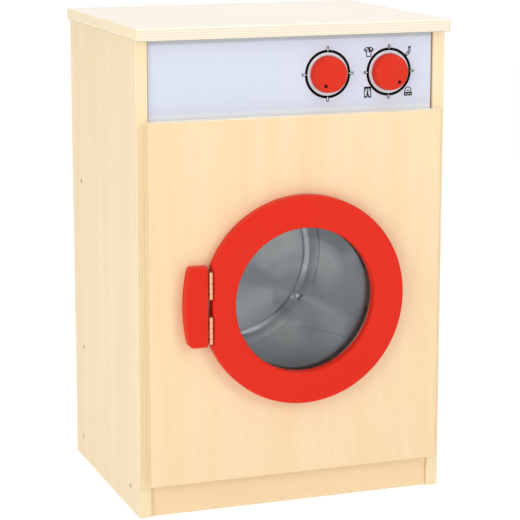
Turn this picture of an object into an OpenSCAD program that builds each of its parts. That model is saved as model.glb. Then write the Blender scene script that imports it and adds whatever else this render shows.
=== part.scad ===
// Toy washing machine in birch plywood: a cabinet with a round hinged door,
// a drum behind it and two turning dial knobs.
// Inside the modules y is measured from the front edges of the side panels, positive to the back.

/* [Cabinet] */
// Width over the two side panels
cabinet_w = 400; // [380:1:420]
// Depth of the side panels
side_depth = 300; // [280:1:330]
// Height of the side panels, up to the underside of the worktop
side_height = 587; // [570:1:610]
// Thickness of the plywood
ply = 15; // [15:1:16]
// Worktop beyond the side panels, left and right
worktop_side_lap = 2; // [0:0.5:6]
// Worktop beyond the side panels at the back
worktop_back_lap = 10; // [0:1:20]
// Corner radius of the worktop, seen from above
worktop_corner_r = 4; // [1:0.5:8]
// Centre of the back panel, behind the side panels' front edges
back_panel_y = 256; // [240:1:262]
// Height of the bottom panel's centre above the floor
bottom_panel_z = 30.5; // [28:0.5:36]

/* [Front] */
// Width of the front panel
front_panel_w = 378; // [374:1:380]
// Lower edge of the front panel above the floor
front_panel_low = 43; // [36:1:50]
// Upper edge of the front panel above the floor
front_panel_high = 491; // [486:1:500]
// Radius of the round opening in the front panel
opening_r = 98; // [96:0.5:99]
// Thickness of the control panel
control_panel_t = 12; // [10:1:15]
// Control panel and plinth set back from the side panels' front edges
front_recess = 4; // [2:0.5:8]
// Height of the plinth
plinth_h = 60; // [50:1:61]

/* [Door] */
// Door centre, to the right of the cabinet's middle
door_x = 5.5; // [0:0.5:8]
// Door centre above the floor
door_z = 265.5; // [255:0.5:275]
// Outer radius of the door ring
ring_outer_r = 130; // [126:0.5:134]
// Radius of the window opening in the door ring
ring_inner_r = 90; // [86:0.5:91]
// Thickness of the door ring and of the hinge block
ring_t = 15; // [14:0.5:18]
// Rounding of the door ring's front edges
ring_ease = 3; // [1:0.5:4]
// Radius of the window pane
pane_r = 97; // [95:0.5:97]
// Thickness of the window pane
pane_t = 3; // [2:0.5:3.5]
// Clearance between the closed door and the front panel
door_gap = 0.6; // [0.4:0.1:1.5]
// Height of the hinge block
block_h = 99; // [90:1:102]
// Radius of the hinge block's outer side, about the door centre
block_outer_r = 154; // [150:1:158]
// Flat side of the door ring, left of the door centre
ring_flat = 119.6; // [118:0.2:121]
// Gap between the hinge block and the door ring
hinge_gap = 6.4; // [6:0.2:7]

/* [Hinges] */
// Length of one hinge
hinge_l = 33; // [30:1:36]
// Distance between the centres of the two hinges
hinge_spacing = 55.2; // [50:0.2:60]
// Outside radius of the hinge knuckles
knuckle_r = 2.25; // [2.2:0.05:2.4]
// Thickness of the hinge leaves
leaf_t = 1.2; // [1.1:0.05:1.3]
// Width of a hinge leaf, from the pin to its rear edge
leaf_w = 12; // [10:0.5:13]
// Radius of the hinge pins
hinge_pin_r = 1.1; // [0.9:0.05:1.2]

/* [Drum] */
// Outer radius of the drum's rim
drum_r = 90.5; // [86:0.5:92]
// Rim of the drum ahead of the front panel's back face
drum_rim_z = 5; // [2:0.5:7]
// Floor of the drum behind the front panel's back face
drum_floor_depth = 9; // [6:0.5:9.5]
// Thickness of the drum's sheet steel
drum_sheet = 1.2; // [0.8:0.1:1.5]
// Width of a drum rib at its foot
rib_w = 22; // [16:1:26]
// Height of a drum rib above the floor
rib_h = 8; // [5:0.5:8.5]
// Radius of the drum's axle bolt
axle_r = 3; // [2.5:0.5:3.5]

/* [Knobs] */
// Height of both knobs above the floor
knob_z = 538.3; // [530:0.1:545]
// Left knob, right of the cabinet's middle
left_knob_x = 45.5; // [35:0.5:50]
// Right knob, right of the cabinet's middle
right_knob_x = 126.5; // [115:0.5:135]
// Radius of a knob's face
knob_r = 21.5; // [19:0.5:23]
// Radius of a knob at its back, from which its side tapers
knob_base_r = 24; // [23:0.5:26]
// Thickness of a knob
knob_t = 12.5; // [10:0.5:18]
// Direction in which the left knob's dot points, counter-clockwise from the right
left_pointer = 242; // [0:1:359]
// Direction in which the right knob's dot points, counter-clockwise from the right
right_pointer = 307; // [0:1:359]

/* [Hidden] */
$fn = 96;
slack = 0.2;
run_gap = 0.06;
front_face_y = -ply;
ring_back_y = front_face_y - door_gap;
ring_front_y = ring_back_y - ring_t;
block_edge_x = door_x - ring_flat - hinge_gap;
pin_x = block_edge_x + hinge_gap / 2;
pin_y = ring_front_y - 0.6;
front_reach = knuckle_r - pin_y;
back_reach = side_depth + worktop_back_lap;
edge_y = (front_reach - back_reach) / 2;
inner_w = cabinet_w - 2 * ply;
side_x = cabinet_w / 2 - ply / 2;
worktop_low = side_height;
back_panel_front = back_panel_y - ply / 2;
bottom_panel_low = bottom_panel_z - ply / 2;
bottom_panel_back = side_depth - ply;

cleat = 20;
cleat_x = inner_w / 2 - cleat / 2;
cleat_low = plinth_h + 2;
cleat_high = 478;
control_cleat_low = 490;
control_cleat_high = 580;
control_panel_w = inner_w - 2;

screw_shank_r = 2;
screw_head_r = 4;
screw_head_h = 2.4;
side_screw_l = 45;
cleat_screw_l = 30;
control_screw_l = 28;
side_screw_spots = [[back_panel_y, 380], [back_panel_y, 156],
                    [264.5, bottom_panel_z], [40, bottom_panel_z]];
cleat_screw_heights = [110, 270, 430];
cleat_side_screw_heights = [140, 300, 455];
control_screw_heights = [510, 560];
control_side_screw_height = 535;

dowel_r = 4;
dowel_l = 30;
dowel_blind = 10;
worktop_dowel_depths = [40, 260];
plinth_dowel_places = [-120, 0, 120];

rebate_r = pane_r + slack;
pane_screw_r = (ring_inner_r + rebate_r) / 2;
pane_screw_count = 6;
pane_screw_l = 8;
catch_r = 114;
magnet_r = 5;
magnet_t = 5;
strike_r = 6;
strike_t = 1.5;
strike_screw_l = 10;
block_screw_l = 26;
leaf_screw_l = 11;
leaf_screw_y = pin_y + 7;
leaf_screw_offset = 11;
knuckle_count = 5;
knuckle_pitch = hinge_l / knuckle_count;
knuckle_gap = 0.15;
upper_hinge_z = door_z + hinge_spacing / 2;
lower_hinge_z = door_z - hinge_spacing / 2;

bridge_l = 250;
bridge_h = 50;
bridge_y = 15;
spacer_w = 25;
bridge_screw_l = 40;
bridge_screw_offset = [bridge_l / 2 - spacer_w / 2, 15];
hub_r = 12.5;
hub_z = 0.5;
hub_foot_r = 28;
drum_floor_r = 65;
rib_start = 14.5;
rib_reach = 78;
bushing_r = 5;
bushing_flange_r = 8;
bushing_flange_t = 1;
hub_tube_r = 6;
axle_washer_r = 7;
axle_washer_t = 1.2;
bolt_head_r = 4;
bolt_head_h = 2.4;
axle_nut_r = 5.8;
axle_nut_t = 5;
axle_end_y = bridge_y + ply + 8;
rib_bend_r = 138;
rib_bend_angle = 40;
curved_rib_dirs = [87, 210];
straight_rib_dir = 328.5;

knob_gap = 0.5;
knob_back_y = front_recess - knob_gap;
knob_ease = 3;
dot_r = 2.1;
dot_t = 1.5;
dot_offset = 15.1;
spindle_r = 5;
spindle_bore_r = spindle_r + 0.08;
spindle_in_knob = 9;
spindle_end_y = front_recess + control_panel_t + 0.4;
knob_washer_r = 11;
knob_washer_t = 2;
knob_screw_l = 16;

// Moves a part from the side panels' front edges into the frame of the whole object.
module in_frame() {
    translate([0, edge_y, 0]) children();
}

// Block given by its low and high corners.
module block(low, high) {
    translate(low) cube(high - low);
}

// Turns a shape so that its +Z side faces the front, with its origin at the given place.
module facing_front(x, y, z) {
    translate([x, y, z]) rotate([90, 0, 0]) children();
}

// Countersunk wood screw: its head's face lies at z = 0 and it runs down.
module screw(length, shank_r = screw_shank_r, head_r = screw_head_r, head_h = screw_head_h) {
    tip = shank_r * 2;
    translate([0, 0, -head_h]) cylinder(h = head_h, r1 = shank_r, r2 = head_r);
    translate([0, 0, tip - length]) cylinder(h = length - tip, r = shank_r);
    translate([0, 0, -length]) cylinder(h = tip, r1 = 0.3, r2 = shank_r);
}

// The same screw with its cross recess.
module slotted_screw(length, shank_r = screw_shank_r, head_r = screw_head_r,
                     head_h = screw_head_h) {
    slot_w = head_r * 0.24;
    slot_l = head_r * 1.1;
    difference() {
        screw(length, shank_r, head_r, head_h);
        cube([slot_l, slot_w, head_h], center = true);
        cube([slot_w, slot_l, head_h], center = true);
    }
}

module small_screw(length, slotted = false) {
    if (slotted) slotted_screw(length, 1.25, 2.3, 1.4);
    else screw(length, 1.25, 2.3, 1.4);
}

// Places a child whose head faces out of the left (-1) or the right (1) side.
module from_side(side, x, y, z) {
    translate([side * x, y, z]) rotate([0, side * 90, 0]) children();
}

// Places a child whose head faces the back.
module from_back(x, y, z) {
    translate([x, y, z]) rotate([-90, 0, 0]) children();
}

module side_screw_places(side) {
    for (spot = side_screw_spots)
        from_side(side, cabinet_w / 2, spot[0], spot[1]) children();
}

module cleat_front_screw_places(side) {
    for (z = cleat_screw_heights) from_back(side * cleat_x, cleat, z) children();
}

module cleat_side_screw_places(side) {
    for (z = cleat_side_screw_heights)
        from_side(-side, -(inner_w / 2 - cleat), cleat / 2, z) children();
}

module control_front_screw_places(side) {
    for (z = control_screw_heights)
        from_back(side * cleat_x, front_recess + control_panel_t + cleat, z) children();
}

module control_side_screw_places(side) {
    from_side(-side, -(inner_w / 2 - cleat), front_recess + control_panel_t + cleat / 2,
              control_side_screw_height) children();
}

module worktop_dowel_places(side) {
    for (y = worktop_dowel_depths)
        translate([side * side_x, y, worktop_low + dowel_blind]) children();
}

module plinth_dowel_spots() {
    for (x = plinth_dowel_places)
        facing_front(x, front_recess + ply - dowel_blind, bottom_panel_z) children();
}

module dowel() {
    translate([0, 0, -dowel_l]) cylinder(h = dowel_l, r = dowel_r);
}

module side_panel(side) {
    low = min(side * (side_x - ply / 2), side * (side_x + ply / 2));
    difference() {
        block([low, 0, 0], [low + ply, side_depth, side_height]);
        side_screw_places(side) screw(side_screw_l);
        cleat_side_screw_places(side) screw(cleat_screw_l);
        control_side_screw_places(side) screw(cleat_screw_l);
        worktop_dowel_places(side) dowel();
    }
}

module left_side_panel() {
    color("burlywood") in_frame() side_panel(-1);
}

module right_side_panel() {
    color("burlywood") in_frame() side_panel(1);
}

module worktop() {
    half_w = cabinet_w / 2 + worktop_side_lap;
    top = worktop_low + ply;
    r = worktop_corner_r;
    color("wheat") in_frame() difference() {
        union() {
            block([-half_w + r, -ply, worktop_low], [half_w - r, back_reach, top]);
            block([-half_w, -ply + r, worktop_low], [half_w, back_reach - r, top]);
            for (x = [-half_w + r, half_w - r], y = [-ply + r, back_reach - r])
                translate([x, y, worktop_low]) cylinder(h = ply, r = r);
        }
        for (side = [-1, 1]) worktop_dowel_places(side) dowel();
    }
}

module bottom_panel() {
    color("burlywood") in_frame() difference() {
        block([-inner_w / 2, front_recess + ply, bottom_panel_low],
              [inner_w / 2, bottom_panel_back, bottom_panel_low + ply]);
        for (side = [-1, 1]) side_screw_places(side) screw(side_screw_l);
        plinth_dowel_spots() dowel();
    }
}

module back_panel() {
    color("burlywood") in_frame() difference() {
        block([-inner_w / 2, back_panel_front, bottom_panel_low + ply],
              [inner_w / 2, back_panel_front + ply, side_height]);
        for (side = [-1, 1]) side_screw_places(side) screw(side_screw_l);
    }
}

module plinth() {
    color("burlywood") in_frame() difference() {
        block([-inner_w / 2, front_recess, 0], [inner_w / 2, front_recess + ply, plinth_h]);
        plinth_dowel_spots() dowel();
    }
}

module front_panel() {
    half_w = front_panel_w / 2;
    color("navajowhite") in_frame() difference() {
        block([-half_w, -ply, front_panel_low], [half_w, 0, front_panel_high]);
        facing_front(door_x, 1, door_z) cylinder(h = ply + 2, r = opening_r);
        facing_front(door_x + catch_r, front_face_y + magnet_t, door_z)
            cylinder(h = magnet_t + 1, r = magnet_r);
        for (side = [-1, 1]) cleat_front_screw_places(side) screw(cleat_screw_l);
        bridge_screw_places() screw(bridge_screw_l);
        block_screw_places() screw(block_screw_l);
    }
}

module control_panel() {
    half_w = control_panel_w / 2;
    color("lightsteelblue") in_frame() difference() {
        block([-half_w, front_recess, cleat_high],
              [half_w, front_recess + control_panel_t, side_height]);
        for (x = [left_knob_x, right_knob_x])
            facing_front(x, front_recess + control_panel_t + 1, knob_z)
                cylinder(h = control_panel_t + 2, r = spindle_bore_r);
        for (side = [-1, 1]) control_front_screw_places(side) screw(control_screw_l);
    }
}

module front_cleat(side) {
    low = side * cleat_x - cleat / 2;
    color("tan") in_frame() difference() {
        block([low, 0, cleat_low], [low + cleat, cleat, cleat_high]);
        cleat_front_screw_places(side) screw(cleat_screw_l);
        cleat_side_screw_places(side) screw(cleat_screw_l);
    }
}

module left_front_cleat() {
    front_cleat(-1);
}

module right_front_cleat() {
    front_cleat(1);
}

module control_panel_cleats() {
    back = front_recess + control_panel_t;
    color("tan") in_frame() for (side = [-1, 1]) {
        low = side * cleat_x - cleat / 2;
        difference() {
            block([low, back, control_cleat_low], [low + cleat, back + cleat, control_cleat_high]);
            control_front_screw_places(side) screw(control_screw_l);
            control_side_screw_places(side) screw(cleat_screw_l);
        }
    }
}

module side_panel_screws() {
    color("dimgray") in_frame() for (side = [-1, 1])
        side_screw_places(side) slotted_screw(side_screw_l);
}

module front_cleat_screws() {
    color("silver") in_frame() for (side = [-1, 1]) {
        cleat_front_screw_places(side) slotted_screw(cleat_screw_l);
        cleat_side_screw_places(side) slotted_screw(cleat_screw_l);
    }
}

module control_panel_screws() {
    color("silver") in_frame() for (side = [-1, 1]) {
        control_front_screw_places(side) slotted_screw(control_screw_l);
        control_side_screw_places(side) slotted_screw(cleat_screw_l);
    }
}

module worktop_dowels() {
    color("wheat") in_frame() for (side = [-1, 1]) worktop_dowel_places(side) dowel();
}

module plinth_dowels() {
    color("wheat") in_frame() plinth_dowel_spots() dowel();
}

module block_screw_places() {
    for (up = [-1, 1]) from_back(block_edge_x - 14, 0, door_z + up * block_h / 3) children();
}

module hinge_block() {
    color("tomato") in_frame() difference() {
        intersection() {
            facing_front(door_x, front_face_y, door_z) cylinder(h = ring_t, r = block_outer_r);
            block([door_x - block_outer_r, front_face_y - ring_t, door_z - block_h / 2],
                  [block_edge_x, front_face_y, door_z + block_h / 2]);
        }
        block_screw_places() screw(block_screw_l);
        leaf_screw_places(-1) small_screw(leaf_screw_l);
    }
}

module hinge_block_screws() {
    color("silver") in_frame() block_screw_places() slotted_screw(block_screw_l);
}

// Leaf screws, two a hinge: -1 for those in the hinge block, 1 for those in the door ring.
module leaf_screw_places(side) {
    for (z = [upper_hinge_z, lower_hinge_z], up = [-1, 1])
        translate([pin_x + side * (hinge_gap / 2 - leaf_t), leaf_screw_y,
                   z + up * leaf_screw_offset])
            rotate([0, -side * 90, 0]) children();
}

// One leaf of a hinge: -1 for the leaf on the hinge block, 1 for the leaf on the door ring.
module hinge_leaf(side, centre_z) {
    wood_x = hinge_gap / 2;
    own = [for (i = [0 : knuckle_count - 1]) if ((side < 0) == (i % 2 == 0)) i];
    clear_y = 1.2;
    difference() {
        translate([pin_x, pin_y, centre_z]) union() {
            block([min(side * wood_x, side * (wood_x - leaf_t)), clear_y, -hinge_l / 2],
                  [max(side * wood_x, side * (wood_x - leaf_t)), leaf_w, hinge_l / 2]);
            for (i = own) {
                low = -hinge_l / 2 + i * knuckle_pitch + knuckle_gap / 2;
                translate([0, 0, low]) cylinder(h = knuckle_pitch - knuckle_gap, r = knuckle_r);
                block([min(side * wood_x, side * (wood_x - leaf_t)), 0, low],
                      [max(side * wood_x, side * (wood_x - leaf_t)), clear_y,
                       low + knuckle_pitch - knuckle_gap]);
            }
        }
        translate([pin_x, pin_y, centre_z - hinge_l / 2 - 1])
            cylinder(h = hinge_l + 2, r = hinge_pin_r + (side > 0 ? run_gap : 0));
        leaf_screw_places(side) small_screw(leaf_screw_l);
    }
}

module hinge_pin(centre_z) {
    translate([pin_x, pin_y, centre_z - hinge_l / 2]) cylinder(h = hinge_l, r = hinge_pin_r);
}

module upper_hinge_fixed_leaf() {
    color("gold") in_frame() hinge_leaf(-1, upper_hinge_z);
}

module lower_hinge_fixed_leaf() {
    color("gold") in_frame() hinge_leaf(-1, lower_hinge_z);
}

module upper_hinge_door_leaf() {
    color("gold") in_frame() hinge_leaf(1, upper_hinge_z);
}

module lower_hinge_door_leaf() {
    color("gold") in_frame() hinge_leaf(1, lower_hinge_z);
}

module upper_hinge_pin() {
    color("silver") in_frame() hinge_pin(upper_hinge_z);
}

module lower_hinge_pin() {
    color("silver") in_frame() hinge_pin(lower_hinge_z);
}

module fixed_leaf_screws() {
    color("gold") in_frame() leaf_screw_places(-1) small_screw(leaf_screw_l, true);
}

module door_leaf_screws() {
    color("gold") in_frame() leaf_screw_places(1) small_screw(leaf_screw_l, true);
}

module catch_magnet() {
    color("silver") in_frame()
        facing_front(door_x + catch_r, front_face_y + magnet_t, door_z)
            cylinder(h = magnet_t, r = magnet_r);
}

// Section of the door ring: inner side at x = 0, back face at y = 0.
module ring_section() {
    width = ring_outer_r - ring_inner_r;
    square([width, ring_t - ring_ease]);
    translate([ring_ease, 0]) square([width - 2 * ring_ease, ring_t]);
    for (x = [ring_ease, width - ring_ease])
        translate([x, ring_t - ring_ease]) circle(r = ring_ease);
}

module door_ring() {
    color("red") in_frame() difference() {
        facing_front(door_x, ring_back_y, door_z)
            rotate_extrude() translate([ring_inner_r, 0]) ring_section();
        facing_front(door_x, ring_back_y + 1, door_z) cylinder(h = pane_t + 1, r = rebate_r);
        block([door_x - ring_outer_r - 1, ring_front_y - 1, door_z - ring_outer_r],
              [door_x - ring_flat, ring_back_y + 1, door_z + ring_outer_r]);
        window_screw_places() small_screw(pane_screw_l);
        leaf_screw_places(1) small_screw(leaf_screw_l);
        catch_plate_place() translate([0, 0, -strike_t]) cylinder(h = strike_t + 1, r = strike_r);
        catch_plate_place() small_screw(strike_screw_l);
    }
}

module window_screw_places() {
    for (i = [0 : pane_screw_count - 1]) {
        angle = 30 + i * 360 / pane_screw_count;
        from_back(door_x + pane_screw_r * cos(angle), ring_back_y,
                  door_z + pane_screw_r * sin(angle)) children();
    }
}

module catch_plate_place() {
    from_back(door_x + catch_r, ring_back_y, door_z) children();
}

module door_window() {
    color("lightcyan", 0.4) in_frame() difference() {
        facing_front(door_x, ring_back_y, door_z) cylinder(h = pane_t, r = pane_r);
        window_screw_places() small_screw(pane_screw_l);
    }
}

module window_screws() {
    color("silver") in_frame() window_screw_places() small_screw(pane_screw_l, true);
}

module catch_plate() {
    color("silver") in_frame() difference() {
        catch_plate_place() translate([0, 0, -strike_t]) cylinder(h = strike_t, r = strike_r);
        catch_plate_place() small_screw(strike_screw_l);
    }
}

module catch_plate_screw() {
    color("silver") in_frame() catch_plate_place() small_screw(strike_screw_l, true);
}

module bridge_screw_places() {
    for (side = [-1, 1], up = [-1, 1])
        from_back(door_x + side * bridge_screw_offset[0], bridge_y + ply,
                  door_z + up * bridge_screw_offset[1]) children();
}

module drum_bridge() {
    color("tan") in_frame() difference() {
        block([door_x - bridge_l / 2, bridge_y, door_z - bridge_h / 2],
              [door_x + bridge_l / 2, bridge_y + ply, door_z + bridge_h / 2]);
        facing_front(door_x, bridge_y + ply + 1, door_z) cylinder(h = ply + 2, r = bushing_r);
        bridge_screw_places() screw(bridge_screw_l);
    }
}

module drum_bridge_spacers() {
    color("tan") in_frame() for (side = [-1, 1]) {
        low = door_x + side * bridge_screw_offset[0] - spacer_w / 2;
        difference() {
            block([low, 0, door_z - bridge_h / 2], [low + spacer_w, bridge_y, door_z + bridge_h / 2]);
            bridge_screw_places() screw(bridge_screw_l);
        }
    }
}

module drum_bridge_screws() {
    color("silver") in_frame() bridge_screw_places() slotted_screw(bridge_screw_l);
}

// The drum's parts are drawn about its axis, with z = 0 at the front panel's back face.
module on_drum_axis() {
    in_frame() facing_front(door_x, 0, door_z) children();
}

module drum_bushing() {
    color("white") on_drum_axis() difference() {
        union() {
            translate([0, 0, -bridge_y]) cylinder(h = bushing_flange_t, r = bushing_flange_r);
            translate([0, 0, -bridge_y - ply]) cylinder(h = ply + bushing_flange_t, r = bushing_r);
        }
        translate([0, 0, -bridge_y - ply - 1]) cylinder(h = ply + 4, r = axle_r + run_gap);
    }
}

// Front surface of the drum, from its centre out: raised hub, flat floor, rim turned up.
module pan_shell() {
    front = [[0, hub_z], [hub_r, hub_z], [hub_foot_r, -drum_floor_depth],
             [drum_floor_r, -drum_floor_depth],
             for (t = [0.25 : 0.25 : 1])
                 [drum_floor_r + t * (drum_r - drum_floor_r),
                  -drum_floor_depth + (drum_rim_z + drum_floor_depth) * t * (1.6 - 0.6 * t)]];
    last = len(front) - 1;
    rotate_extrude() polygon(concat(front, [for (i = [last : -1 : 0]) front[i] - [0, drum_sheet]]));
}

// A rib is a bar with a rounded back laid on the floor, straight or bent to an arc.
module rib_section() {
    low = -drum_floor_depth - drum_sheet / 2;
    top = rib_h - drum_floor_depth;
    polygon([[-rib_w / 2, low], [rib_w / 2, low], [rib_w * 0.3, top - rib_h / 4],
             [rib_w * 0.12, top], [-rib_w * 0.12, top], [-rib_w * 0.3, top - rib_h / 4]]);
}

module curved_rib(direction, bend) {
    half_chord = asin(drum_r / 2 / rib_bend_r);
    start = bend > 0 ? 0 : 180 - rib_bend_angle;
    rotate([0, 0, direction - 90 - bend * half_chord])
        translate([-bend * rib_bend_r, 0, 0])
            rotate([0, 0, start])
                rotate_extrude(angle = rib_bend_angle) translate([rib_bend_r, 0]) rib_section();
}

module straight_rib(direction) {
    rotate([90, 0, direction + 90]) linear_extrude(rib_reach) rib_section();
}

// The ring of the drum's floor that the ribs may cover.
module rib_zone() {
    translate([0, 0, -drum_floor_depth - drum_sheet]) difference() {
        cylinder(h = rib_h + drum_sheet * 2, r = rib_reach);
        translate([0, 0, -1]) cylinder(h = rib_h + drum_sheet * 2 + 2, r = rib_start);
    }
}

module drum_pan() {
    color("lightgray") on_drum_axis() difference() {
        union() {
            pan_shell();
            intersection() {
                rib_zone();
                union() {
                    curved_rib(curved_rib_dirs[0], 1);
                    curved_rib(curved_rib_dirs[1], -1);
                    straight_rib(straight_rib_dir);
                }
            }
        }
        translate([0, 0, -drum_floor_depth]) cylinder(h = drum_floor_depth + 5, r = axle_r);
    }
}

module drum_axle_bolt() {
    color("silver") on_drum_axis() {
        translate([0, 0, hub_z]) cylinder(h = bolt_head_h / 2, r = bolt_head_r);
        translate([0, 0, hub_z + bolt_head_h / 2])
            cylinder(h = bolt_head_h / 2, r1 = bolt_head_r, r2 = bolt_head_r * 0.6);
        translate([0, 0, -axle_end_y]) cylinder(h = axle_end_y + hub_z, r = axle_r);
    }
}

module drum_hub_tube() {
    front = hub_z - drum_sheet;
    back = -(bridge_y - bushing_flange_t) + slack;
    color("silver") on_drum_axis() difference() {
        translate([0, 0, back]) cylinder(h = front - back, r = hub_tube_r);
        translate([0, 0, back - 1]) cylinder(h = front - back + 2, r = axle_r);
    }
}

module drum_axle_washer() {
    front = -(bridge_y + ply) - slack;
    color("silver") on_drum_axis() difference() {
        translate([0, 0, front - axle_washer_t]) cylinder(h = axle_washer_t, r = axle_washer_r);
        translate([0, 0, front - axle_washer_t - 1]) cylinder(h = axle_washer_t + 2, r = axle_r);
    }
}

module drum_axle_nut() {
    front = -(bridge_y + ply) - slack - axle_washer_t;
    color("silver") on_drum_axis() difference() {
        translate([0, 0, front - axle_nut_t]) cylinder(h = axle_nut_t, r = axle_nut_r, $fn = 6);
        translate([0, 0, front - axle_nut_t - 1]) cylinder(h = axle_nut_t + 2, r = axle_r);
    }
}

// The knobs' parts are drawn about their axis, with z = 0 at the knob's back face.
module on_knob_axis(x) {
    in_frame() facing_front(x, knob_back_y, knob_z) children();
}

module knob(x, pointer) {
    color("red") on_knob_axis(x) difference() {
        rotate_extrude() {
            polygon([[0, 0], [knob_base_r, 0], [knob_r, knob_t - knob_ease],
                     [0, knob_t - knob_ease]]);
            square([knob_r - knob_ease, knob_t]);
            translate([knob_r - knob_ease, knob_t - knob_ease]) circle(r = knob_ease);
        }
        translate([0, 0, -1]) cylinder(h = spindle_in_knob + 1, r = spindle_r);
        knob_dot_place(pointer) cylinder(h = dot_t + 1, r = dot_r);
    }
}

module knob_dot_place(pointer) {
    rotate([0, 0, pointer]) translate([dot_offset, 0, knob_t - dot_t]) children();
}

module knob_dot(x, pointer) {
    color("black") on_knob_axis(x) knob_dot_place(pointer) cylinder(h = dot_t, r = dot_r);
}

module knob_spindle(x) {
    back = knob_back_y - spindle_end_y;
    color("burlywood") on_knob_axis(x) difference() {
        translate([0, 0, back]) cylinder(h = spindle_in_knob - back, r = spindle_r);
        knob_screw_place() small_screw(knob_screw_l);
    }
}

// The screw comes from behind, through the washer into the spindle.
module knob_screw_place() {
    translate([0, 0, knob_back_y - spindle_end_y - knob_washer_t]) rotate([180, 0, 0]) children();
}

module knob_washer(x) {
    color("silver") on_knob_axis(x) difference() {
        translate([0, 0, knob_back_y - spindle_end_y - knob_washer_t])
            cylinder(h = knob_washer_t, r = knob_washer_r);
        knob_screw_place() small_screw(knob_screw_l);
    }
}

module knob_screw(x) {
    color("silver") on_knob_axis(x) knob_screw_place() small_screw(knob_screw_l, true);
}

module left_knob() {
    knob(left_knob_x, left_pointer);
}

module left_knob_dot() {
    knob_dot(left_knob_x, left_pointer);
}

module left_knob_spindle() {
    knob_spindle(left_knob_x);
}

module left_knob_washer() {
    knob_washer(left_knob_x);
}

module left_knob_screw() {
    knob_screw(left_knob_x);
}

module right_knob() {
    knob(right_knob_x, right_pointer);
}

module right_knob_dot() {
    knob_dot(right_knob_x, right_pointer);
}

module right_knob_spindle() {
    knob_spindle(right_knob_x);
}

module right_knob_washer() {
    knob_washer(right_knob_x);
}

module right_knob_screw() {
    knob_screw(right_knob_x);
}

left_side_panel();
right_side_panel();
worktop();
bottom_panel();
back_panel();
plinth();
front_panel();
control_panel();
left_front_cleat();
right_front_cleat();
control_panel_cleats();
side_panel_screws();
front_cleat_screws();
control_panel_screws();
worktop_dowels();
plinth_dowels();
hinge_block();
hinge_block_screws();
upper_hinge_fixed_leaf();
lower_hinge_fixed_leaf();
upper_hinge_pin();
lower_hinge_pin();
fixed_leaf_screws();
catch_magnet();
drum_bridge();
drum_bridge_spacers();
drum_bridge_screws();
drum_bushing();
door_ring();
door_window();
window_screws();
upper_hinge_door_leaf();
lower_hinge_door_leaf();
door_leaf_screws();
catch_plate();
catch_plate_screw();
drum_pan();
drum_axle_bolt();
drum_hub_tube();
drum_axle_washer();
drum_axle_nut();
left_knob();
left_knob_dot();
left_knob_spindle();
left_knob_washer();
left_knob_screw();
right_knob();
right_knob_dot();
right_knob_spindle();
right_knob_washer();
right_knob_screw();
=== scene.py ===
import math
import bmesh
import bpy
from mathutils import Matrix, Vector


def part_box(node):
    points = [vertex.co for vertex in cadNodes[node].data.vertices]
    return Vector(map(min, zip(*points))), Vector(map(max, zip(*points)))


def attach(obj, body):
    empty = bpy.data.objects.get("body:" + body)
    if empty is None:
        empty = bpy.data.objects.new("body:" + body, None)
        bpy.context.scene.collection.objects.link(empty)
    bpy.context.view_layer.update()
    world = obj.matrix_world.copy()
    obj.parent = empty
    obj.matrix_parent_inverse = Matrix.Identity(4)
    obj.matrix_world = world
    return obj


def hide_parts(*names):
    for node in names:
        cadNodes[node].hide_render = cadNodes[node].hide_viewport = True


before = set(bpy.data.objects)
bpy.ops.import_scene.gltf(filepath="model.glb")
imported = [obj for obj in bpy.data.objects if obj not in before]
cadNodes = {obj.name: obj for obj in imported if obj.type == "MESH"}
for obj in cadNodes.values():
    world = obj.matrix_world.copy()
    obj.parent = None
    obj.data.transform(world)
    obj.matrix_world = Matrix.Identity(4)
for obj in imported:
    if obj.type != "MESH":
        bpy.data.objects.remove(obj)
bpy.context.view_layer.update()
scene = bpy.context.scene
mm = 0.001
xAxis, yAxis, zAxis = 0, 1, 2

# Where things are, all read from the frame
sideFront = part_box("left_side_panel")[0].y              # front edges of the side panels
frontLow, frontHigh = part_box("front_panel")
controlLow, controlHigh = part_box("control_panel")
ringLow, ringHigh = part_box("door_ring")
ringRadius = (ringHigh.z - ringLow.z) / 2
doorX = ringHigh.x - ringRadius
doorZ = (ringLow.z + ringHigh.z) / 2

# Local axes for round work that faces the front: x right, y up, z out of the front
facingFront = Matrix(((1, 0, 0, 0), (0, 0, -1, 0), (0, 1, 0, 0), (0, 0, 0, 1)))


def frontPlace(x, y, z):
    return Matrix.Translation((x, y, z)) @ facingFront


# Camera and light

cameraLook = {
    "turn": -19.921, "height": 10.759, "roll": 0.045,   # degrees round the object
    "distance": 2644.1, "focus": (28.9, 200.0, 323.1),  # mm, focus measured from the sides' front edges
    "focal": 1990.9, "frame": 520, "axisRow": 220,      # in pixels of the photograph's frame
    "sensor": 36.0, "nearest": 0.05, "farthest": 80.0,
}


def makeCamera(look):
    turn, height, roll = (math.radians(look[key]) for key in ("turn", "height", "roll"))
    back = Vector((math.sin(turn) * math.cos(height), -math.cos(turn) * math.cos(height),
                   math.sin(height)))
    right = (-back).cross(Vector((0, 0, 1))).normalized()
    up = right.cross(-back)
    leanRight = right * math.cos(roll) + up * math.sin(roll)
    leanUp = up * math.cos(roll) - right * math.sin(roll)
    focus = Vector(look["focus"]) * mm + Vector((0, sideFront, 0))
    place = Matrix.Translation(focus + back * look["distance"] * mm)
    turnMatrix = Matrix((leanRight, leanUp, back)).transposed().to_4x4()
    data = bpy.data.cameras.new("photoCamera")
    data.sensor_width = look["sensor"]
    data.lens = look["focal"] / look["frame"] * data.sensor_width
    data.shift_y = -(look["frame"] / 2 - look["axisRow"]) / look["frame"]
    data.clip_start, data.clip_end = look["nearest"], look["farthest"]
    camera = bpy.data.objects.new("photoCamera", data)
    camera.matrix_world = place @ turnMatrix
    scene.collection.objects.link(camera)
    scene.camera = camera


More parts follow.
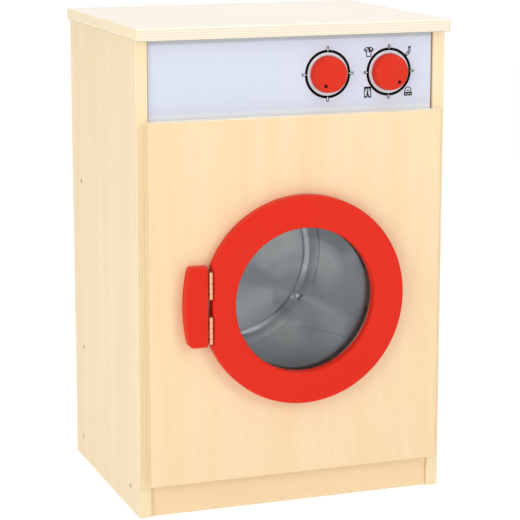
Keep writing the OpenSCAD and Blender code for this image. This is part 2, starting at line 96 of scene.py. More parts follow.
lightLook = {
    "world": 0.25,
    "key": {"at": (1.7, -2.5, 1.45), "size": (0.9, 0.9), "power": 20},
    "left": {"at": (-2.5, -1.65, 1.1), "size": (1.6, 2.6), "power": 39},
    "front": {"at": (0.35, -1.5, 2.6), "size": (2.0, 2.0), "power": 21},
    "top": {"at": (0.1, 0.8, 3.0), "size": (2.0, 2.0), "power": 58},
}
floorLook = {
    "size": 18.0, "tone": 124, "toneSpread": 4, "roughness": 0.9,
    "glow": 0.87, "farGlow": 0.97, "near": 2.0, "far": 7.0,     # metres from the object
}


def makeLights(look):
    world = bpy.data.worlds.new("paleRoom")
    world.use_nodes = True
    background = world.node_tree.nodes["Background"].inputs
    background["Color"].default_value = grey(255)
    background["Strength"].default_value = look["world"]
    scene.world = world
    aim = Vector((0, 0, doorZ))
    for name in ("key", "left", "front", "top"):
        data = bpy.data.lights.new(name + "Softbox", "AREA")
        data.shape = "RECTANGLE"
        data.size, data.size_y = look[name]["size"]
        data.energy = look[name]["power"]
        lamp = bpy.data.objects.new(name + "Softbox", data)
        lamp.location = look[name]["at"]
        lamp.rotation_euler = (aim - lamp.location).to_track_quat("-Z", "Y").to_euler()
        lamp.visible_camera = False
        scene.collection.objects.link(lamp)
    scene.view_settings.view_transform = "Standard"
    scene.view_settings.look = "None"


# Node helpers, for materials and for Geometry Nodes alike

def setSocket(tree, target, value):
    if isinstance(value, bpy.types.NodeSocket):
        tree.links.new(value, target)
    else:
        target.default_value = value


def addNode(tree, kind, inputs=None, **settings):
    node = tree.nodes.new(kind)
    for key, value in settings.items():
        setattr(node, key, value)
    for socket, value in (inputs or {}).items():
        setSocket(tree, node.inputs[socket], value)
    return node


def calc(tree, operation, *values, clamp=False):
    node = addNode(tree, "ShaderNodeMath", operation=operation, use_clamp=clamp)
    for target, value in zip(node.inputs, values):
        setSocket(tree, target, value)
    return node.outputs[0]


def vectorCalc(tree, operation, *values, answer="Vector"):
    node = addNode(tree, "ShaderNodeVectorMath", operation=operation)
    for target, value in zip(node.inputs, values):
        setSocket(tree, target, value)
    return node.outputs[answer]


def remap(tree, value, fromLow, fromHigh, toLow=0.0, toHigh=1.0, smooth=True):
    node = addNode(tree, "ShaderNodeMapRange",
                   {"Value": value, "From Min": fromLow, "From Max": fromHigh,
                    "To Min": toLow, "To Max": toHigh},
                   interpolation_type="SMOOTHSTEP" if smooth else "LINEAR")
    return node.outputs["Result"]


def mixColours(tree, factor, first, second):
    node = addNode(tree, "ShaderNodeMix", {0: factor, 6: first, 7: second},
                   data_type="RGBA")
    return node.outputs[2]


def noise(tree, vector, scale, detail=2.0, roughness=0.5):
    node = addNode(tree, "ShaderNodeTexNoise", {"Vector": vector, "Scale": scale,
                                                "Detail": detail, "Roughness": roughness})
    return node.outputs["Fac"]


def bump(tree, height, strength, distance):
    node = addNode(tree, "ShaderNodeBump", {"Height": height, "Strength": strength,
                                            "Distance": distance})
    return node.outputs["Normal"]


def tint(red, green, blue):                             # 0 to 255 as seen on a screen
    seen = [value / 255 for value in (red, green, blue)]
    return tuple(v / 12.92 if v <= 0.04045 else ((v + 0.055) / 1.055) ** 2.4 for v in seen) + (1.0,)


def grey(level):
    return tint(level, level, level)


def newMaterial(name):
    material = bpy.data.materials.new(name)
    material.use_nodes = True
    tree = material.node_tree
    return material, tree, tree.nodes["Principled BSDF"].inputs


# Wood: rotary-cut birch faces with layered edges, and solid wood for cleats and dowels

plyTones = {
    "side": {"face": tint(251, 229, 189), "figure": tint(243, 217, 170),
             "light": tint(247, 228, 190), "dark": tint(238, 213, 168)},
    "front": {"face": tint(246, 219, 178), "figure": tint(239, 207, 160),
              "light": tint(246, 224, 184), "dark": tint(235, 206, 160),
              # the front panel's top edge, made lighter: painted light
              "edgeAndPaintedTones": ((zAxis, 1, tint(255, 250, 232), 0.9),)},
    "top": {"face": tint(245, 238, 228), "figure": tint(240, 230, 217),
            "light": tint(241, 232, 214), "dark": tint(233, 217, 190),
            # the worktop's left end grain, then its underside made darker: painted shade
            "edgeAndPaintedTones": ((xAxis, -1, tint(255, 234, 190), 0.75), (zAxis, -1, tint(112, 108, 92), 0.9))},
}
plyLook = {
    "plies": 9, "glueTone": tint(176, 136, 90), "glueShare": 0.16, "roughness": 0.44,
    "coat": 0.12, "coatRoughness": 0.30, "relief": 0.25 * mm,
    "bandScale": 34.0, "bandShare": 0.34, "flameScale": 11.0, "flameTurns": 46.0, "flameShare": 0.16,
    "streakScale": 420.0, "streakShare": 0.30, "blotchScale": 4.5, "blotchShare": 0.32,
    "poreScale": 1500.0, "poreShare": 0.22, "poreTone": tint(190, 146, 98), "fuzzScale": 1300.0,
}
grainLook = {"swayScale": 5.0, "sway": 20 * mm, "stretch": 0.045}


def axisMask(tree, vector, axis):                       # 1 where a face looks along that axis
    split = addNode(tree, "ShaderNodeSeparateXYZ", {0: vector})
    return calc(tree, "ABSOLUTE", split.outputs[axis])


def grainVector(tree, position, grainAxis, seed):
    # squeezes the pattern across the grain and sways it a little, as the fibres do
    sway = noise(tree, vectorCalc(tree, "ADD", position, (seed, seed * 0.7, 0.0)),
                 grainLook["swayScale"], 2.0)
    shift = calc(tree, "MULTIPLY", calc(tree, "SUBTRACT", sway, 0.5), grainLook["sway"])
    swayed = vectorCalc(tree, "ADD", position,
                        addNode(tree, "ShaderNodeCombineXYZ", {0: shift, 1: shift, 2: shift})
                        .outputs[0])
    scale = [1.0, 1.0, 1.0]
    scale[grainAxis] = grainLook["stretch"]
    return vectorCalc(tree, "ADD", vectorCalc(tree, "MULTIPLY", swayed, tuple(scale)),
                      (seed * 3.1, seed * 1.7, seed * 2.3))


def plywood(name, tones, low, high, thickAxis, grainAxis, seed):
    material, tree, shader = newMaterial(name)
    coords = addNode(tree, "ShaderNodeTexCoord")
    position, normal = coords.outputs["Object"], coords.outputs["Normal"]
    fibre = grainVector(tree, position, grainAxis, seed)
    streaks = noise(tree, fibre, plyLook["streakScale"], 3.0, 0.6)
    bands = noise(tree, fibre, plyLook["bandScale"], 2.0, 0.5)
    flames = calc(tree, "SINE", calc(tree, "MULTIPLY", noise(tree, fibre, plyLook["flameScale"], 1.0),
                                     plyLook["flameTurns"]))
    blotch = noise(tree, vectorCalc(tree, "ADD", position, (seed, seed, seed)),
                   plyLook["blotchScale"], 2.0)
    pores = remap(tree, noise(tree, fibre, plyLook["poreScale"], 1.0), 0.66, 0.74)
    figure = calc(tree, "MULTIPLY", remap(tree, bands, 0.32, 0.72), plyLook["bandShare"])
    for layer, share in ((remap(tree, flames, -0.2, 1.0), "flameShare"), (streaks, "streakShare"),
                         (blotch, "blotchShare")):
        figure = calc(tree, "ADD", figure, calc(tree, "MULTIPLY", layer, plyLook[share]), clamp=True)
    faceColour = mixColours(tree, figure, tones["face"], tones["figure"])
    faceColour = mixColours(tree, calc(tree, "MULTIPLY", pores, plyLook["poreShare"]), faceColour,
                            plyLook["poreTone"])

    split = addNode(tree, "ShaderNodeSeparateXYZ", {0: position})
    depth = remap(tree, split.outputs[thickAxis], low[thickAxis], high[thickAxis],
                  0.0, float(plyLook["plies"]), smooth=False)
    within = calc(tree, "FRACT", depth)
    endGrain = calc(tree, "GREATER_THAN", calc(tree, "MODULO", depth, 2.0), 1.0)
    fuzz = noise(tree, position, plyLook["fuzzScale"], 2.0)
    endAmount = calc(tree, "MULTIPLY", endGrain, remap(tree, fuzz, 0.2, 0.9, 0.55, 1.0))
    edgeColour = mixColours(tree, endAmount, tones["light"], tones["dark"])
    glue = remap(tree, calc(tree, "ABSOLUTE", calc(tree, "SUBTRACT", within, 0.5)), 0.40, 0.48)
    edgeColour = mixColours(tree, calc(tree, "MULTIPLY", glue, plyLook["glueShare"]), edgeColour,
                            plyLook["glueTone"])

    facing = addNode(tree, "ShaderNodeSeparateXYZ", {0: normal}).outputs
    for axis, sign, edgeAndPaintedTone, share in tones.get("edgeAndPaintedTones", ()):    # edge tones: the worktop's yellower left end grain, painted light on the front panel's top edge and painted shade on the worktop's underside
        towards = calc(tree, "MULTIPLY", facing[axis], float(sign))
        edgeColour = mixColours(tree, calc(tree, "MULTIPLY", remap(tree, towards, 0.25, 0.6), share),
                                edgeColour, edgeAndPaintedTone)

    faceOn = remap(tree, axisMask(tree, normal, thickAxis), 0.80, 0.92)
    setSocket(tree, shader["Base Color"], mixColours(tree, faceOn, edgeColour, faceColour))
    setSocket(tree, shader["Roughness"], remap(tree, streaks, 0.2, 0.8, plyLook["roughness"] - 0.05,
                                               plyLook["roughness"] + 0.07))
    relief = calc(tree, "ADD", calc(tree, "MULTIPLY", streaks, 0.5),
                  calc(tree, "MULTIPLY", glue, calc(tree, "SUBTRACT", faceOn, 1.0)))
    relief = calc(tree, "SUBTRACT", relief, calc(tree, "MULTIPLY", pores, 0.5))
    setSocket(tree, shader["Normal"], bump(tree, relief, 0.25, plyLook["relief"]))
    shader["Coat Weight"].default_value = plyLook["coat"]
    shader["Coat Roughness"].default_value = plyLook["coatRoughness"]
    return material


woodTones = {
    "spruceUpright": (tint(226, 192, 142), tint(190, 148, 98)),
    "spruceLying": (tint(226, 192, 142), tint(190, 148, 98)),
    "beech": (tint(220, 180, 134), tint(196, 150, 104)),
}
woodLook = {"ringScale": 60.0, "ringTurns": 40.0, "ringShare": 0.55, "streakScale": 700.0,
            "streakShare": 0.4, "roughness": (0.52, 0.68), "relief": 0.3 * mm}


def solidWood(name, grainAxis, seed):
    material, tree, shader = newMaterial(name)
    coords = addNode(tree, "ShaderNodeTexCoord")
    fibre = grainVector(tree, coords.outputs["Object"], grainAxis, seed)
    rings = calc(tree, "SINE", calc(tree, "MULTIPLY", noise(tree, fibre, woodLook["ringScale"], 1.0),
                                    woodLook["ringTurns"]))
    streaks = noise(tree, fibre, woodLook["streakScale"], 3.0, 0.6)
    amount = calc(tree, "ADD",
                  calc(tree, "MULTIPLY", remap(tree, rings, -0.4, 1.0), woodLook["ringShare"]),
                  calc(tree, "MULTIPLY", streaks, woodLook["streakShare"]), clamp=True)
    setSocket(tree, shader["Base Color"], mixColours(tree, amount, *woodTones[name]))
    setSocket(tree, shader["Roughness"], remap(tree, streaks, 0.2, 0.8, *woodLook["roughness"]))
    setSocket(tree, shader["Normal"], bump(tree, streaks, 0.3, woodLook["relief"]))
    return material


# Faced board, lacquer, metal, clear sheet and print

facedLook = {
    "tones": (tint(207, 213, 229), tint(211, 216, 231)), "cloudScale": 9.0, "grainScale": 900.0,
    "core": (tint(176, 142, 104), tint(205, 172, 132)), "coreScale": 700.0,
    "roughness": (0.42, 0.52), "relief": 0.2 * mm,
    # mm below the board's top, where a painted shadow under the worktop's overhang sets in, and above
    # the front panel's top, where painted light fills the shade along the board's foot
    "paintedShadow": tint(176, 182, 188), "paintedShadowShare": 0.8, "paintedShadowFrom": 7.2, "paintedShadowTo": 4.6,
    "pale": tint(240, 243, 249), "paintedLightReach": 9,
}


def facedBoard(look):
    material, tree, shader = newMaterial("blueGreyFacedBoard")
    coords = addNode(tree, "ShaderNodeTexCoord")
    position = coords.outputs["Object"]
    grain = noise(tree, position, look["grainScale"], 3.0, 0.6)
    tone = mixColours(tree, noise(tree, position, look["cloudScale"], 2.0), *look["tones"])
    core = mixColours(tree, noise(tree, position, look["coreScale"], 4.0, 0.7), *look["core"])
    height = addNode(tree, "ShaderNodeSeparateXYZ", {0: position}).outputs[zAxis]
    # painted shadow under the worktop's overhang, darkest right beneath it
    paintedShadow = remap(tree, height, controlHigh.z - look["paintedShadowFrom"] * mm,
                  controlHigh.z - look["paintedShadowTo"] * mm)
    tone = mixColours(tree, calc(tree, "MULTIPLY", paintedShadow, look["paintedShadowShare"]), tone, look["paintedShadow"])
    # painted light along the board's foot, filling the shade beside the front panel's top edge
    pale = remap(tree, height, frontHigh.z + look["paintedLightReach"] * mm, frontHigh.z)
    tone = mixColours(tree, pale, tone, look["pale"])
    faceOn = remap(tree, axisMask(tree, coords.outputs["Normal"], yAxis), 0.75, 0.9)
    setSocket(tree, shader["Base Color"], mixColours(tree, faceOn, core, tone))
    setSocket(tree, shader["Roughness"], remap(tree, grain, 0.2, 0.8, *look["roughness"]))
    setSocket(tree, shader["Normal"], bump(tree, grain, 0.10, look["relief"]))
    return material


lacquerTones = {"redLacquer": (tint(223, 39, 14), tint(219, 35, 11)),
                "knobLacquer": (tint(217, 46, 22), tint(213, 42, 18))}
lacquerLook = {"cloudScale": 14.0, "peelScale": 650.0, "roughness": (0.38, 0.47),
               "relief": 0.2 * mm, "specular": 0.20}


def lacquer(name, look):
    material, tree, shader = newMaterial(name)
    position = addNode(tree, "ShaderNodeTexCoord").outputs["Object"]
    cloud = noise(tree, position, look["cloudScale"], 3.0)
    peel = noise(tree, position, look["peelScale"], 2.0)
    setSocket(tree, shader["Base Color"], mixColours(tree, cloud, *lacquerTones[name]))
    setSocket(tree, shader["Roughness"], remap(tree, peel, 0.3, 0.7, *look["roughness"]))
    setSocket(tree, shader["Normal"], bump(tree, peel, 0.12, look["relief"]))
    shader["Specular IOR Level"].default_value = look["specular"]
    return material


metalTones = {                                          # pale, dark and roughness
    "zincSteel": (tint(196, 198, 200), tint(160, 162, 165), 0.34),
    "polishedBrass": (tint(247, 198, 158), tint(226, 168, 120), 0.30),
    "nickelPlate": (tint(205, 203, 198), tint(180, 178, 172), 0.22),
    "satinSteel": (tint(214, 214, 208), tint(190, 190, 186), 0.52),
}
metalLook = {"scratchScale": 2600.0, "scratchStretch": 0.04, "stainScale": 160.0,
             "relief": 0.1 * mm}


def metal(name, scratchAxis=xAxis):
    pale, dark, roughness = metalTones[name]
    material, tree, shader = newMaterial(name)
    position = addNode(tree, "ShaderNodeTexCoord").outputs["Object"]
    scale = [1.0, 1.0, 1.0]
    scale[scratchAxis] = metalLook["scratchStretch"]
    lines = noise(tree, vectorCalc(tree, "MULTIPLY", position, tuple(scale)),
                  metalLook["scratchScale"], 3.0, 0.65)
    stain = noise(tree, position, metalLook["stainScale"], 3.0)
    setSocket(tree, shader["Base Color"], mixColours(tree, stain, pale, dark))
    setSocket(tree, shader["Roughness"], remap(tree, lines, 0.2, 0.8, roughness - 0.06,
                                               roughness + 0.08))
    setSocket(tree, shader["Normal"], bump(tree, lines, 0.15, metalLook["relief"]))
    shader["Metallic"].default_value = 1.0
    return material


drumFinish = {
    "pale": tint(147, 154, 158), "dark": tint(123, 130, 135), "roughness": (0.32, 0.41),
    "lineScale": 2400.0, "cloudScale": 22.0, "relief": 0.1 * mm, "anisotropic": 0.85,
    "paintedFlankLight": 0.5, "dull": 0.30,                          # how far the painted light and shade on the ribs' flanks change the tone
    "paintedHubShade": 0.24, "hubReach": (38, 24), "bandBlur": 5,       # reach of the painted darker hub and blur of the painted sheen's bands, in mm
    # a warmer tint painted on the brighter parts of the painted sheen
    "plain": (1.0, 1.0, 1.0, 1.0), "paintedLightWarm": (1.06, 1.0, 0.93, 1.0),
    # painted sheen, standing in for the turned steel's reflections: heading and half width in degrees,
    # radii in mm, change of tone
    "sheen": ((112, 36, 54, 99, 0.24), (43, 30, 40, 66, 0.24), (250, 36, 34, 64, 0.24),
              (60, 30, 74, 99, -0.40), (10, 30, 74, 99, 0.10), (325, 50, 30, 99, -0.17),
              (153, 14, 30, 99, -0.18), (185, 26, 20, 99, -0.08), (262, 60, 78, 99, -0.12)),
}


# painted sheen and a painted darker hub, as a factor on the steel's tone
def paintedTurnedSheen(tree, fromAxis, radius):
    heading = vectorCalc(tree, "NORMALIZE", fromAxis)
    hubEnd, hubStart = drumFinish["hubReach"]
    blur = drumFinish["bandBlur"]
    tone = calc(tree, "SUBTRACT", 1.0, calc(tree, "MULTIPLY", drumFinish["paintedHubShade"],
                                            remap(tree, radius, hubEnd * mm, hubStart * mm)))
    for turn, spread, inner, outer, change in drumFinish["sheen"]:
        turn, spread = math.radians(turn), math.radians(spread)
        near = vectorCalc(tree, "DOT_PRODUCT", heading, (math.cos(turn), 0.0, math.sin(turn)),
                          answer="Value")
        sector = remap(tree, near, math.cos(spread), math.cos(spread * 0.3))
        band = calc(tree, "MULTIPLY",
                    remap(tree, radius, (inner - blur) * mm, (inner + blur) * mm),
                    remap(tree, radius, (outer + blur) * mm, (outer - blur) * mm))
        amount = calc(tree, "MULTIPLY", calc(tree, "MULTIPLY", sector, band), float(change))
        tone = calc(tree, "ADD", tone, amount)
    return tone


def spunSteel():
    # fine turned lines round the drum's axis with an anisotropic reflection; bright and dark sectors, a
    # darker hub and the ribs' lit and shaded flanks are painted into its colour
    material, tree, shader = newMaterial("spunDrumSteelPaintedSheen")
    position = addNode(tree, "ShaderNodeTexCoord").outputs["Object"]
    fromAxis = vectorCalc(tree, "MULTIPLY",
                          vectorCalc(tree, "SUBTRACT", position, (doorX, 0.0, doorZ)),
                          (1.0, 0.0, 1.0))
    radius = vectorCalc(tree, "LENGTH", fromAxis, answer="Value")
    turned = noise(tree, addNode(tree, "ShaderNodeCombineXYZ", {0: radius}).outputs[0],
                   drumFinish["lineScale"], 2.0)
    cloud = noise(tree, position, drumFinish["cloudScale"], 3.0)
    # painted light and shade on the ribs' flanks, stored on the mesh
    paintedFlankLight = addNode(tree, "ShaderNodeAttribute", attribute_name="paintedRibShading").outputs["Fac"]
    paintedFlankBright = calc(tree, "MULTIPLY", calc(tree, "MAXIMUM", paintedFlankLight, 0.0), drumFinish["paintedFlankLight"])
    paintedFlankDark = calc(tree, "MULTIPLY", calc(tree, "MINIMUM", paintedFlankLight, 0.0), drumFinish["dull"])
    paintedFlankTone = calc(tree, "ADD", 1.0, calc(tree, "ADD", paintedFlankBright, paintedFlankDark))
    sheen = paintedTurnedSheen(tree, fromAxis, radius)
    paintedLightWarmth = mixColours(tree, remap(tree, sheen, 1.0, 1.3), drumFinish["plain"], drumFinish["paintedLightWarm"])
    sheet = mixColours(tree, calc(tree, "MULTIPLY", calc(tree, "ADD", turned, cloud), 0.5),
                       drumFinish["pale"], drumFinish["dark"])
    sheet = vectorCalc(tree, "MULTIPLY", sheet, paintedLightWarmth)
    setSocket(tree, shader["Base Color"],
              vectorCalc(tree, "MULTIPLY", sheet, calc(tree, "MULTIPLY", paintedFlankTone, sheen)))
    setSocket(tree, shader["Roughness"], remap(tree, cloud, 0.3, 0.7, *drumFinish["roughness"]))
    setSocket(tree, shader["Normal"], bump(tree, turned, 0.08, drumFinish["relief"]))
    tangent = addNode(tree, "ShaderNodeTangent", direction_type="RADIAL", axis="Y")
    setSocket(tree, shader["Tangent"], tangent.outputs["Tangent"])
    shader["Metallic"].default_value = 1.0
    shader["Anisotropic"].default_value = drumFinish["anisotropic"]
    return material


windowLook = {"tones": (tint(120, 128, 132), tint(134, 142, 146)), "hazeScale": 30.0,
              "roughness": (0.05, 0.09), "ior": 1.49, "alpha": 0.08,
              "edgeEase": 0.4 * mm, "segments": 192}


def clearSheet(look):
    material, tree, shader = newMaterial("clearAcrylic")
    position = addNode(tree, "ShaderNodeTexCoord").outputs["Object"]
    haze = noise(tree, position, look["hazeScale"], 3.0)
    setSocket(tree, shader["Base Color"], mixColours(tree, haze, *look["tones"]))
    setSocket(tree, shader["Roughness"], remap(tree, haze, 0.3, 0.7, *look["roughness"]))
    shader["IOR"].default_value = look["ior"]
    shader["Alpha"].default_value = look["alpha"]
    return material


inkTones = {                                            # pale, dark and specular
    "blackInk": (tint(3, 4, 5), tint(7, 9, 10), 0.08),
    "whiteInk": (tint(250, 250, 250), tint(240, 241, 243), 0.25),
    "whiteNylon": (tint(232, 232, 228), tint(220, 220, 214), 0.25),
    "paleDiscInk": (tint(222, 230, 237), tint(216, 225, 232), 0.25),
}
inkLook = {"speckScale": 1800.0, "roughness": (0.45, 0.6), "relief": 0.05 * mm}


def flatInk(name):
    pale, dark, specular = inkTones[name]
    material, tree, shader = newMaterial(name)
    position = addNode(tree, "ShaderNodeTexCoord").outputs["Object"]
    speck = noise(tree, position, inkLook["speckScale"], 3.0)
    setSocket(tree, shader["Base Color"], mixColours(tree, speck, pale, dark))
    setSocket(tree, shader["Roughness"], remap(tree, speck, 0.2, 0.8, *inkLook["roughness"]))
    setSocket(tree, shader["Normal"], bump(tree, speck, 0.1, inkLook["relief"]))
    shader["Specular IOR Level"].default_value = specular
    return material


# Mesh helpers

def newPiece(name, bm, material=None):
    mesh = bpy.data.meshes.new(name)
    bm.to_mesh(mesh)
    bm.free()
    piece = bpy.data.objects.new(name, mesh)
    scene.collection.objects.link(piece)
    if material:
        mesh.materials.append(material)
    return piece


def makePlain(piece):                                   # applies what modifiers the piece has
    bpy.context.view_layer.update()
    depsgraph = bpy.context.evaluated_depsgraph_get()
    mesh = bpy.data.meshes.new_from_object(piece.evaluated_get(depsgraph), depsgraph=depsgraph)
    piece.modifiers.clear()
    old, piece.data = piece.data, mesh
    bpy.data.meshes.remove(old)


def smoothPiece(piece, sharpAngle=34):
    mesh = piece.data
    mesh.polygons.foreach_set("use_smooth", [True] * len(mesh.polygons))
    mesh.set_sharp_from_angle(angle=math.radians(sharpAngle))
    piece.modifiers.new("evenNormals", "WEIGHTED_NORMAL").keep_sharp = True
    makePlain(piece)


def mountPiece(piece, body, slotName, *replaced):
    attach(piece, body)
    if replaced:
        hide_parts(*replaced)


def cutAway(piece, cutter):
    cut = piece.modifiers.new("cut", "BOOLEAN")
    cut.operation, cut.solver, cut.object = "DIFFERENCE", "EXACT", cutter
    makePlain(piece)
    bpy.data.objects.remove(cutter)


def roundedOutline(corners, steps=6):
    # corners are (x, y, radius), counter-clockwise; each is rounded by its own arc
    points = []
    for i, (x, y, radius) in enumerate(corners):
        here = Vector((x, y))
        toBefore = (Vector(corners[i - 1][:2]) - here).normalized()
        toAfter = (Vector(corners[(i + 1) % len(corners)][:2]) - here).normalized()
        if radius <= 0:
            points.append(here)
            continue
        half = toBefore.angle(toAfter) / 2
        centre = here + (toBefore + toAfter).normalized() * radius / math.sin(half)
        start = here + toBefore * radius / math.tan(half) - centre
        end = here + toAfter * radius / math.tan(half) - centre
        turn = start.angle_signed(end)
        first = math.atan2(start.y, start.x)
        for k in range(steps + 1):
            angle = first - turn * k / steps
            points.append(centre + Vector((math.cos(angle), math.sin(angle))) * radius)
    return points


def insetOutline(points, inset):
    moved = []
    for i, here in enumerate(points):
        before = (here - points[i - 1]).normalized()
        after = (points[(i + 1) % len(points)] - here).normalized()
        inward = (Vector((-before.y, before.x)) + Vector((-after.y, after.x))).normalized()
        moved.append(here + inward * inset / max(0.3, inward.dot(Vector((-after.y, after.x)))))
    return moved


def slab(name, outline, back, front, easeBack, easeFront, place, material, steps=4, square=None):
    # a flat piece from its outline, with rounded edges at its back and front; square is
    # the x of a side that keeps sharp edges
    bm = bmesh.new()
    levels = []
    for k in range(steps + 1):
        angle = math.pi / 2 * k / steps
        levels.append((easeBack * (1 - math.sin(angle)), back + easeBack * (1 - math.cos(angle))))
    for k in range(steps + 1):
        angle = math.pi / 2 * (1 - k / steps)
        levels.append((easeFront * (1 - math.sin(angle)), front - easeFront * (1 - math.cos(angle))))
    rows = []
    for inset, height in levels:
        row = []
        for wanted, p in zip(outline, insetOutline(outline, inset)):
            x = wanted.x if square is not None and abs(wanted.x - square) < 0.01 * mm else p.x
            row.append(bm.verts.new(place @ Vector((x, p.y, height))))
        rows.append(row)
    count = len(outline)
    for row, following in zip(rows, rows[1:]):
        for i in range(count):
            j = (i + 1) % count
            bm.faces.new((row[i], row[j], following[j], following[i]))
    bm.faces.new(rows[-1])
    bm.faces.new(rows[0][::-1])
    bmesh.ops.recalc_face_normals(bm, faces=bm.faces)
    return newPiece(name, bm, material)


def easedBoard(name, low, high, ease, material, segments=3):
    bm = bmesh.new()
    size, middle = high - low, (high + low) / 2
    bmesh.ops.create_cube(bm, size=1.0, matrix=Matrix.Translation(middle) @ Matrix.Diagonal(size)
                          .to_4x4())
    bmesh.ops.bevel(bm, geom=bm.edges[:], offset=ease, segments=segments, profile=0.5,
                    affect="EDGES")
    return newPiece(name, bm, material)


def sweepRound(bm, sectionAt, angles, place, closed=True):
    # turns a section, a list of (radius, height), round the local z axis
    rows = []
    for angle in angles:
        rows.append([bm.verts.new(place @ Vector((r * math.cos(angle), r * math.sin(angle), h)))
                     for r, h in sectionAt(angle)])
    count = len(rows[0])
    for row, following in zip(rows, rows[1:] + rows[:1]):
        for i in range(count if closed else count - 1):
            j = (i + 1) % count
            bm.faces.new((row[i], following[i], following[j], row[j]))


def turnedPiece(name, section, place, material, segments, closed=False):
    bm = bmesh.new()
    sweepRound(bm, lambda angle: section, roundAngles(segments), place, closed)
    closeUp(bm)
    return newPiece(name, bm, material)


def closeUp(bm):
    bmesh.ops.remove_doubles(bm, verts=bm.verts, dist=1e-7)
    bmesh.ops.recalc_face_normals(bm, faces=bm.faces)


def roundAngles(count, extra=()):
    even = [2 * math.pi * i / count for i in range(count)]
    near = math.pi / count / 2                          # an even step this close to an extra one goes
    kept = [a for a in even if all(abs(a - e) > near for e in extra)]
    return sorted(kept + list(extra))


def asPairs(points):
    return [(p.x, p.y) for p in points]


# Boards of the cabinet

boardLook = {"ease": 0.9 * mm, "controlEase": 1.2 * mm, "worktopEase": 1.3 * mm,
             "worktopCorner": 4 * mm, "holeRadius": 3.3 * mm, "holeDepth": 3 * mm,
             "spindleHole": 5.1 * mm, "cutterLength": 60 * mm}


def boardPly(node, tone, thickAxis, grainAxis, seed):
    low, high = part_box(node)
    return plywood(node + "Ply", plyTones[tone], low, high, thickAxis, grainAxis, seed)


def makeBoards():
    boards = [("left_side_panel", "side", xAxis, zAxis, 0.31),
              ("right_side_panel", "side", xAxis, zAxis, 1.87),
              ("bottom_panel", "side", zAxis, xAxis, 2.42),
              ("back_panel", "side", yAxis, zAxis, 3.15),
              ("plinth", "front", yAxis, xAxis, 4.6)]
    for node, tone, thickAxis, grainAxis, seed in boards:
        low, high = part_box(node)
        board = easedBoard(node + "_board", low, high, boardLook["ease"],
                           boardPly(node, tone, thickAxis, grainAxis, seed))
        if node.endswith("side_panel"):
            cutScrewHoles(board, low.x if node.startswith("left") else high.x)
        smoothPiece(board)
        mountPiece(board, "cabinet", "birch_ply", node)


def addCylinder(bm, radius, length, place, segments):
    bmesh.ops.create_cone(bm, cap_ends=True, segments=segments, radius1=radius, radius2=radius,
                          depth=length, matrix=place)


def cutScrewHoles(board, outerX):
    side = math.copysign(1, outerX)
    bm = bmesh.new()
    for head, _ in screwSpots("side_panel_screws"):
        if head.x * side > 0:
            place = Matrix.Translation((outerX, head.y, head.z)) @ Matrix.Rotation(
                side * math.pi / 2, 4, "Y")
            addCylinder(bm, boardLook["holeRadius"], boardLook["holeDepth"] * 2, place, 40)
    cutAway(board, newPiece("screwHoleCutter", bm))


def makeWorktop():
    low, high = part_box("worktop")
    r = boardLook["worktopCorner"]
    outline = roundedOutline([(low.x, low.y, r), (high.x, low.y, r), (high.x, high.y, r),
                              (low.x, high.y, r)], steps=8)
    worktop = slab("worktop_board", outline, low.z, high.z, boardLook["worktopEase"],
                   boardLook["worktopEase"], Matrix.Identity(4),
                   boardPly("worktop", "top", zAxis, xAxis, 5.3))
    smoothPiece(worktop)
    mountPiece(worktop, "cabinet", "worktop_ply", "worktop")


def reachToRectangle(angle, left, right, down, up):
    across, along = math.cos(angle), math.sin(angle)
    reachX = (right if across > 0 else left) / abs(across) if abs(across) > 1e-9 else math.inf
    reachY = (up if along > 0 else down) / abs(along) if abs(along) > 1e-9 else math.inf
    return min(reachX, reachY)


def ringSection(inner, outer, back, front, ease):
    corners = [(inner, back, ease), (outer, back, ease), (outer, front, ease), (inner, front, ease)]
    return asPairs(roundedOutline(corners, steps=4))


frontLook = {"openingRadius": 98 * mm, "ease": 0.8 * mm, "segments": 192}


def makeFrontPanel(look):
    # one board round its round opening, with eased edges inside and out
    sides = (doorX - frontLow.x, frontHigh.x - doorX, doorZ - frontLow.z, frontHigh.z - doorZ)
    left, right, down, up = sides
    cornerAngles = [math.atan2(y, x) % (2 * math.pi)
                    for x, y in ((right, up), (-left, up), (-left, -down), (right, -down))]
    thickness = frontHigh.y - frontLow.y

    def section(angle):
        return ringSection(look["openingRadius"], reachToRectangle(angle, *sides), 0, thickness,
                           look["ease"])

    bm = bmesh.new()
    sweepRound(bm, section, roundAngles(look["segments"], cornerAngles),
               frontPlace(doorX, frontHigh.y, doorZ))
    closeUp(bm)
    panel = newPiece("front_panel_board", bm, boardPly("front_panel", "front", yAxis, zAxis, 6.1))
    smoothPiece(panel)
    mountPiece(panel, "cabinet", "birch_ply", "front_panel")


def makeControlPanel(material):
    board = easedBoard("control_panel_board", controlLow, controlHigh, boardLook["controlEase"],
                       material)
    bm = bmesh.new()
    for knob in ("left_knob_spindle", "right_knob_spindle"):
        low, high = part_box(knob)
        place = frontPlace((low.x + high.x) / 2, controlLow.y, (low.z + high.z) / 2)
        addCylinder(bm, boardLook["spindleHole"], boardLook["cutterLength"], place, 48)
    cutAway(board, newPiece("spindleCutter", bm))
    smoothPiece(board)
    mountPiece(board, "cabinet", "blue_grey_board", "control_panel")


# Screws, one tree for every kind

screwKinds = {                                          # mm: head radius and height, shank, length
    "large": (3.1, 2.0, 1.9, 44), "medium": (3.8, 2.3, 1.9, 28), "bridge": (3.8, 2.3, 1.9, 38),
    "small": (2.2, 1.3, 1.2, 7), "leaf": (2.2, 1.3, 1.2, 10),
}
screwLook = {"crossLength": 1.15, "crossWidth": 0.24,   # shares of the head's radius
             "tipShare": 0.45, "headSides": 40, "shankSides": 20}


